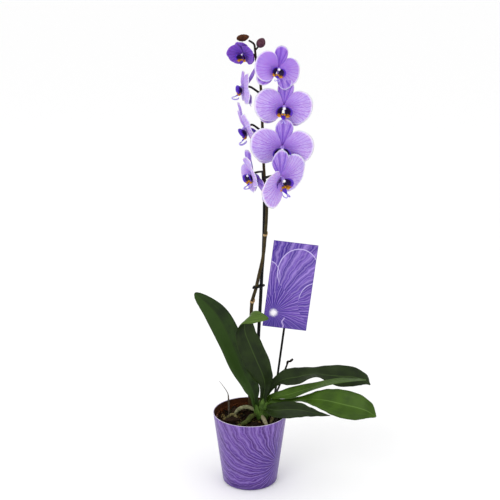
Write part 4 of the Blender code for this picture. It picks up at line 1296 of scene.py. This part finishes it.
# %% Parts of a flower, in the flower's own frame: x to its right, -y to its front
PETAL_REACH = 0.049
PETAL_WALL = 0.0007
CLAW = 0.0046
PETAL_CURL = 2.0
PETAL_BLUNT = 0.40          # how full the outline is: lower is rounder
PETAL_ROOT = 0.0015         # where a blade starts, beside the column
PETAL_GROOVE = 0.0011
SEPAL_SETBACK = 0.0026
LOW_SEPAL_TURN = 32         # degrees the low left sepal turns for each unit that the petal over it is swept


def fan_blade(size, bearing, below, above, length, depth, curl, mirror=1, sweep=0.0, ruffle=0.0012,
              dome=0.0022, seed=0.0, columns=26, rows=18):
    """One petal or sepal; sweep leans it back, ruffle waves its rim, dome swells its middle forward."""
    def shape(across, along):
        side = math.sin(math.pi * (across - 0.5))
        angle = math.radians(bearing + side * (above if side > 0 else below))
        full = max(math.cos(math.pi / 2 * side), 0.0)
        end = CLAW + (length * PETAL_REACH * size - CLAW) * full ** PETAL_BLUNT
        radius = PETAL_ROOT + (end - PETAL_ROOT) * along
        rim = ruffle * along ** 3 * (math.sin(6.5 * side + seed) + 0.5 * along * math.sin(15 * side + seed))
        swell = dome * math.sin(math.pi * along) * full
        groove = PETAL_GROOVE * math.exp(-(side / 0.10) ** 2) * math.sin(math.pi * min(along * 1.1, 1.0))
        back = depth + curl * radius * radius + sweep * radius + rim - swell + groove
        return (Vector((mirror * radius * math.cos(angle), back, radius * math.sin(angle))),
                Vector((0.0, -1.0, 0.0)))

    return blade(shape, PETAL_WALL, columns, rows)


def lip_side(mirror, size):
    """A side lobe: an ear that stands up beside the column and cups forward."""
    def shape(across, along):
        angle = math.radians(-58 + 136 * across)
        round_off = math.sin(math.pi * (0.10 + 0.80 * across)) ** 0.45
        reach = (0.0020 + 0.0116 * along * round_off) * size
        cup = 0.0105 * size * (reach / (0.0128 * size)) ** 1.7
        return (Vector((mirror * (0.0006 * size + reach * math.cos(angle)), -0.0030 * size - cup,
                        -0.0068 * size + reach * math.sin(angle))),
                Vector((-mirror * 0.8, -0.6, 0.0)))

    return blade(shape, 0.0009 * size, 14, 12)


def lip_tongue_blade(size):
    """The middle lobe: an arrowhead that runs forward and down, keeled in the middle."""
    spine = [(0.0, -0.0050, -0.0100), (0.0, -0.0100, -0.0135), (0.0, -0.0150, -0.0158),
             (0.0, -0.0188, -0.0182)]
    path = [point * size for point in route(spine, 21)]

    def shape(across, along):
        row = round(along * 20)
        belly = math.sin(math.pi * min(along * 0.95 + 0.05, 1.0)) ** 0.8
        width = size * (0.0020 + 0.0042 * belly) * (1 - 0.65 * along)
        share = 2 * across - 1
        droop = 0.55 * width * share * share
        return (path[row] + Vector((share * width, droop, -0.4 * droop)), Vector((0.0, -0.6, 0.8)))

    return blade(shape, 0.0011 * size, 10, 20)


def tendril(mirror, size):
    points = [(0.0, -0.0185, -0.0180), (0.0012, -0.0222, -0.0190), (0.0026, -0.0228, -0.0216),
              (0.0034, -0.0175, -0.0232), (0.0032, -0.0115, -0.0222), (0.0026, -0.0098, -0.0200)]
    path = [Vector((mirror * p.x, p.y, p.z)) * size for p in route(points, 26)]
    return stem(path, tapering(0.0011 * size, 0.0009 * size, 0.0008 * size, 0.0006 * size), 8)


def moved(mesh, facing, spot):
    """A flower part put in its place on the plant."""
    mesh.transform(Matrix.Translation(on_bark(spot)) @ facing.to_4x4())
    return mesh


print("flower parts are ready")

# %% Eight flowers
# Column place; yaw, pitch and roll; size; curl times; where the stalk leaves the stem; sweeps back of the
# right petal, the left petal, the top sepal and the low right one; tilt of the pair of petals.
FLOWERS = {
    "flower_1": ((0.0420, -0.055, 0.5990), (14, -4, 17), 0.80, 1.0, 0.590, (0.22, -0.25, 0.0, 0.0), 0),
    "flower_2": ((0.0520, -0.038, 0.5400), (4, 8, 6), 0.94, 1.0, 0.530, (0.0, 0.0, -0.05, 0.0), 0),
    "flower_3": ((0.0500, -0.036, 0.4765), (0, 14, 6), 1.03, 1.0, 0.468, (0.0, 0.0, -0.08, 0.0), 0),
    "flower_4": ((0.0472, -0.058, 0.4318), (30, 12, -8), 1.055, 1.0, 0.418, (0.10, -0.74, -0.14, 0.10), 4),
    "flower_5": ((-0.0095, 0.030, 0.5610), (-82, 0, 0), 0.84, 1.0, 0.553, (0.0, 0.0, 0.50, 0.0), 0),
    "flower_6": ((-0.0058, 0.030, 0.4960), (-80, 26, 0), 0.95, 1.0, 0.492, (0.0, 0.0, 0.0, 0.2), 0),
    "flower_7": ((0.0035, 0.031, 0.4200), (-60, 11, -14), 0.90, 1.0, 0.428, (-0.45, 0.0, -0.10, -0.25), 16),
    "flower_8": ((-0.0110, 0.004, 0.6166), (-26, 18, 0), 0.47, 9.0, 0.612, (0.0, 0.0, 0.0, 0.0), 0),
}
COLUMN_STEPS = [(0.0, 0.0035, 0.0), (0.0, 0.0, 0.0), (0.0, -0.0035, 0.0004), (0.0, -0.0070, -0.0006),
                (0.0, -0.0092, -0.0018)]


def make_flower(name, spot, turns, size, cup, stalk_height, sweeps, tilt):
    yaw, pitch, roll = (math.radians(angle) for angle in turns)
    facing = (Euler((0, 0, yaw)).to_matrix() @ Euler((pitch, 0, 0)).to_matrix()
              @ Euler((0, roll, 0)).to_matrix())
    young = cup > 1.0
    curl = -PETAL_CURL * cup if young else PETAL_CURL
    seed = sum(ord(letter) for letter in name) * 0.7
    chance = random.Random(name)
    right_sweep, left_sweep, top_sweep, low_sweep = sweeps
    spread, low_bearing, length = (58, -30, 0.95) if young else (34, -41, 0.92)
    low_left = low_bearing + LOW_SEPAL_TURN * left_sweep
    sepals = [fan_blade(size, bearing, spread, spread, length, SEPAL_SETBACK + ahead, curl, side, sweep,
                        seed=seed + step)
              for bearing, ahead, side, sweep, step in
              [(90, 0.0, 1, top_sweep, 0), (low_bearing, 0.0006, 1, 0.06 + low_sweep, 2),
               (low_left, 0.0003, -1, 0.06, 4)]]
    above = 88 if young else 66
    wings = [fan_blade(size, 3 + side * tilt, 78, above, 1.0, behind, curl, side, sweep,
                       0.0016, 0.0030, seed + step, 34, 22)
             for side, behind, sweep, step in [(1, 0.0, right_sweep, 1), (-1, -0.0005, left_sweep, 5)]]
    sepal_finish, wing_finish = (young_skin, young_skin) if young else (sepal_skin, petal_skin)
    bloom = name.replace("flower", "bloom")
    assembled(bloom + "_sepals", [(moved(mesh, facing, spot), sepal_finish) for mesh in sepals],
              "petal", name + "_sepals")
    assembled(bloom + "_petals", [(moved(mesh, facing, spot), wing_finish) for mesh in wings],
              "petal", name + "_petals")

    small = size * (1.5 if young else 1.0)
    lip = [(lip_side(1, small), lip_skin), (lip_side(-1, small), lip_skin),
           (lip_tongue_blade(small), lip_tongue)]
    if not young:
        lip += [(tendril(side, small), tendril_skin) for side in (1, -1)]
    for side in (1, -1):
        for place, radii, rough, lump_seed in [
                ((side * 0.0020, -0.0090, -0.0112), (0.0017, 0.0026, 0.0018), 0.08, side),
                ((side * 0.0066, -0.0104, -0.0138), (0.0030, 0.0030, 0.0018), 0.10, 2 + side)]:
            lump = blob(Vector(place) * small, [radius * small for radius in radii],
                        None, 10, rough, lump_seed)
            lip.append((lump, lip_gold))
    nodes = [] if young else [name + "_lip"]
    assembled(bloom + "_lip", [(moved(mesh, facing, spot), finish) for mesh, finish in lip], "lip", *nodes)

    root, _ = at_height(spike_path, stalk_height)
    back = Vector(spot) + facing @ Vector((0.0, 0.010, 0.0))
    arch = (root + back) / 2 + Vector((0.0, 0.0, 0.0004 + 0.001 * chance.random()))
    neck = Vector(spot) + facing @ Vector((0.0, 0.002, 0.0))
    stalk = stem(planted(route([root, arch, back, neck], 40)),
                 tapering(0.0024, 0.0018, 0.0017, 0.0018, 0.0024), 12, 0.04, seed)
    column = stem([point * size for point in route(COLUMN_STEPS, 20)],
                  tapering(0.0020 * size, 0.0026 * size, 0.0031 * size, 0.0030 * size, 0.0022 * size), 16)
    cap = blob(Vector((0.0, -0.0096, -0.0008)) * size, [0.0027 * size, 0.0024 * size, 0.0023 * size],
               None, 12, 0.03)
    assembled(bloom + "_column",
              [(stalk, stalk_skin), (moved(column, facing, spot), column_skin),
               (moved(cap, facing, spot), cap_skin)], "column", name + "_column")


for name, facts in FLOWERS.items():
    make_flower(name, *facts)
print("flowers:", len(FLOWERS))

# %% [markdown]
# ## Buds
# At the tip of the stem one bud is still closed and one has dried up. A closed bud shows the seams of the
# sepals that wrap it; a dried one is wrinkled.

# %% Buds
def bud(centre, radii, turn, seams, wrinkle):
    """A bud drawn out to a point at its top, with seams down its sides."""
    def shape(u, v):
        angle = 2 * math.pi * u
        polar = math.pi * v
        height = -math.cos(polar)
        pinch = (1 - 0.30 * max(height, 0.0) ** 2) * (1 - seams * abs(math.sin(1.5 * angle)) ** 6)
        rough = 1 + wrinkle * math.sin(5 * angle + 9 * height) * math.sin(7 * height + 2 * angle)
        local = Vector((radii[0] * math.cos(angle) * math.sin(polar) * pinch * rough,
                        radii[1] * math.sin(angle) * math.sin(polar) * pinch * rough, radii[2] * height))
        return on_bark(Vector(centre) + turn @ local)

    return bent_sheet(shape, 40, 24, closed=True)


bud_skin = grown_finish("bud_skin", "3a2230", "5c3a4a", "7a3a2c", 0.004, 0.55, 0.0003)
dried_skin = grown_finish("dried_bud_skin", "2a160e", "5a3420", "7a4a2c", 0.003, 0.8, 0.0006)
BUD_PLACE = (0.0168, -0.002, 0.6335)
bud_turn = Euler((0.0, math.radians(35), 0.0)).to_matrix()
BUD_STALK = [(0.0078, 0.0, 0.6215), (0.0105, -0.0005, 0.6245), (0.0135, -0.0015, 0.6290)]
assembled("closed_bud", [(bud(BUD_PLACE, (0.0073, 0.0073, 0.0082), bud_turn, 0.10, 0.01), bud_skin),
                         (stem(planted(route(BUD_STALK, 12)), tapering(0.0013, 0.0015), 12),
                          stalk_skin)], "bud", "top_bud")
DRIED_PLACE = (-0.0110, 0.0, 0.6412)
dried_turn = Euler((0.0, math.radians(80), 0.0)).to_matrix()
assembled("dried_bud", [(bud(DRIED_PLACE, (0.0056, 0.0056, 0.0100), dried_turn, 0.12, 0.10), dried_skin)],
          "bud", "brown_bud")
print("buds: 2")
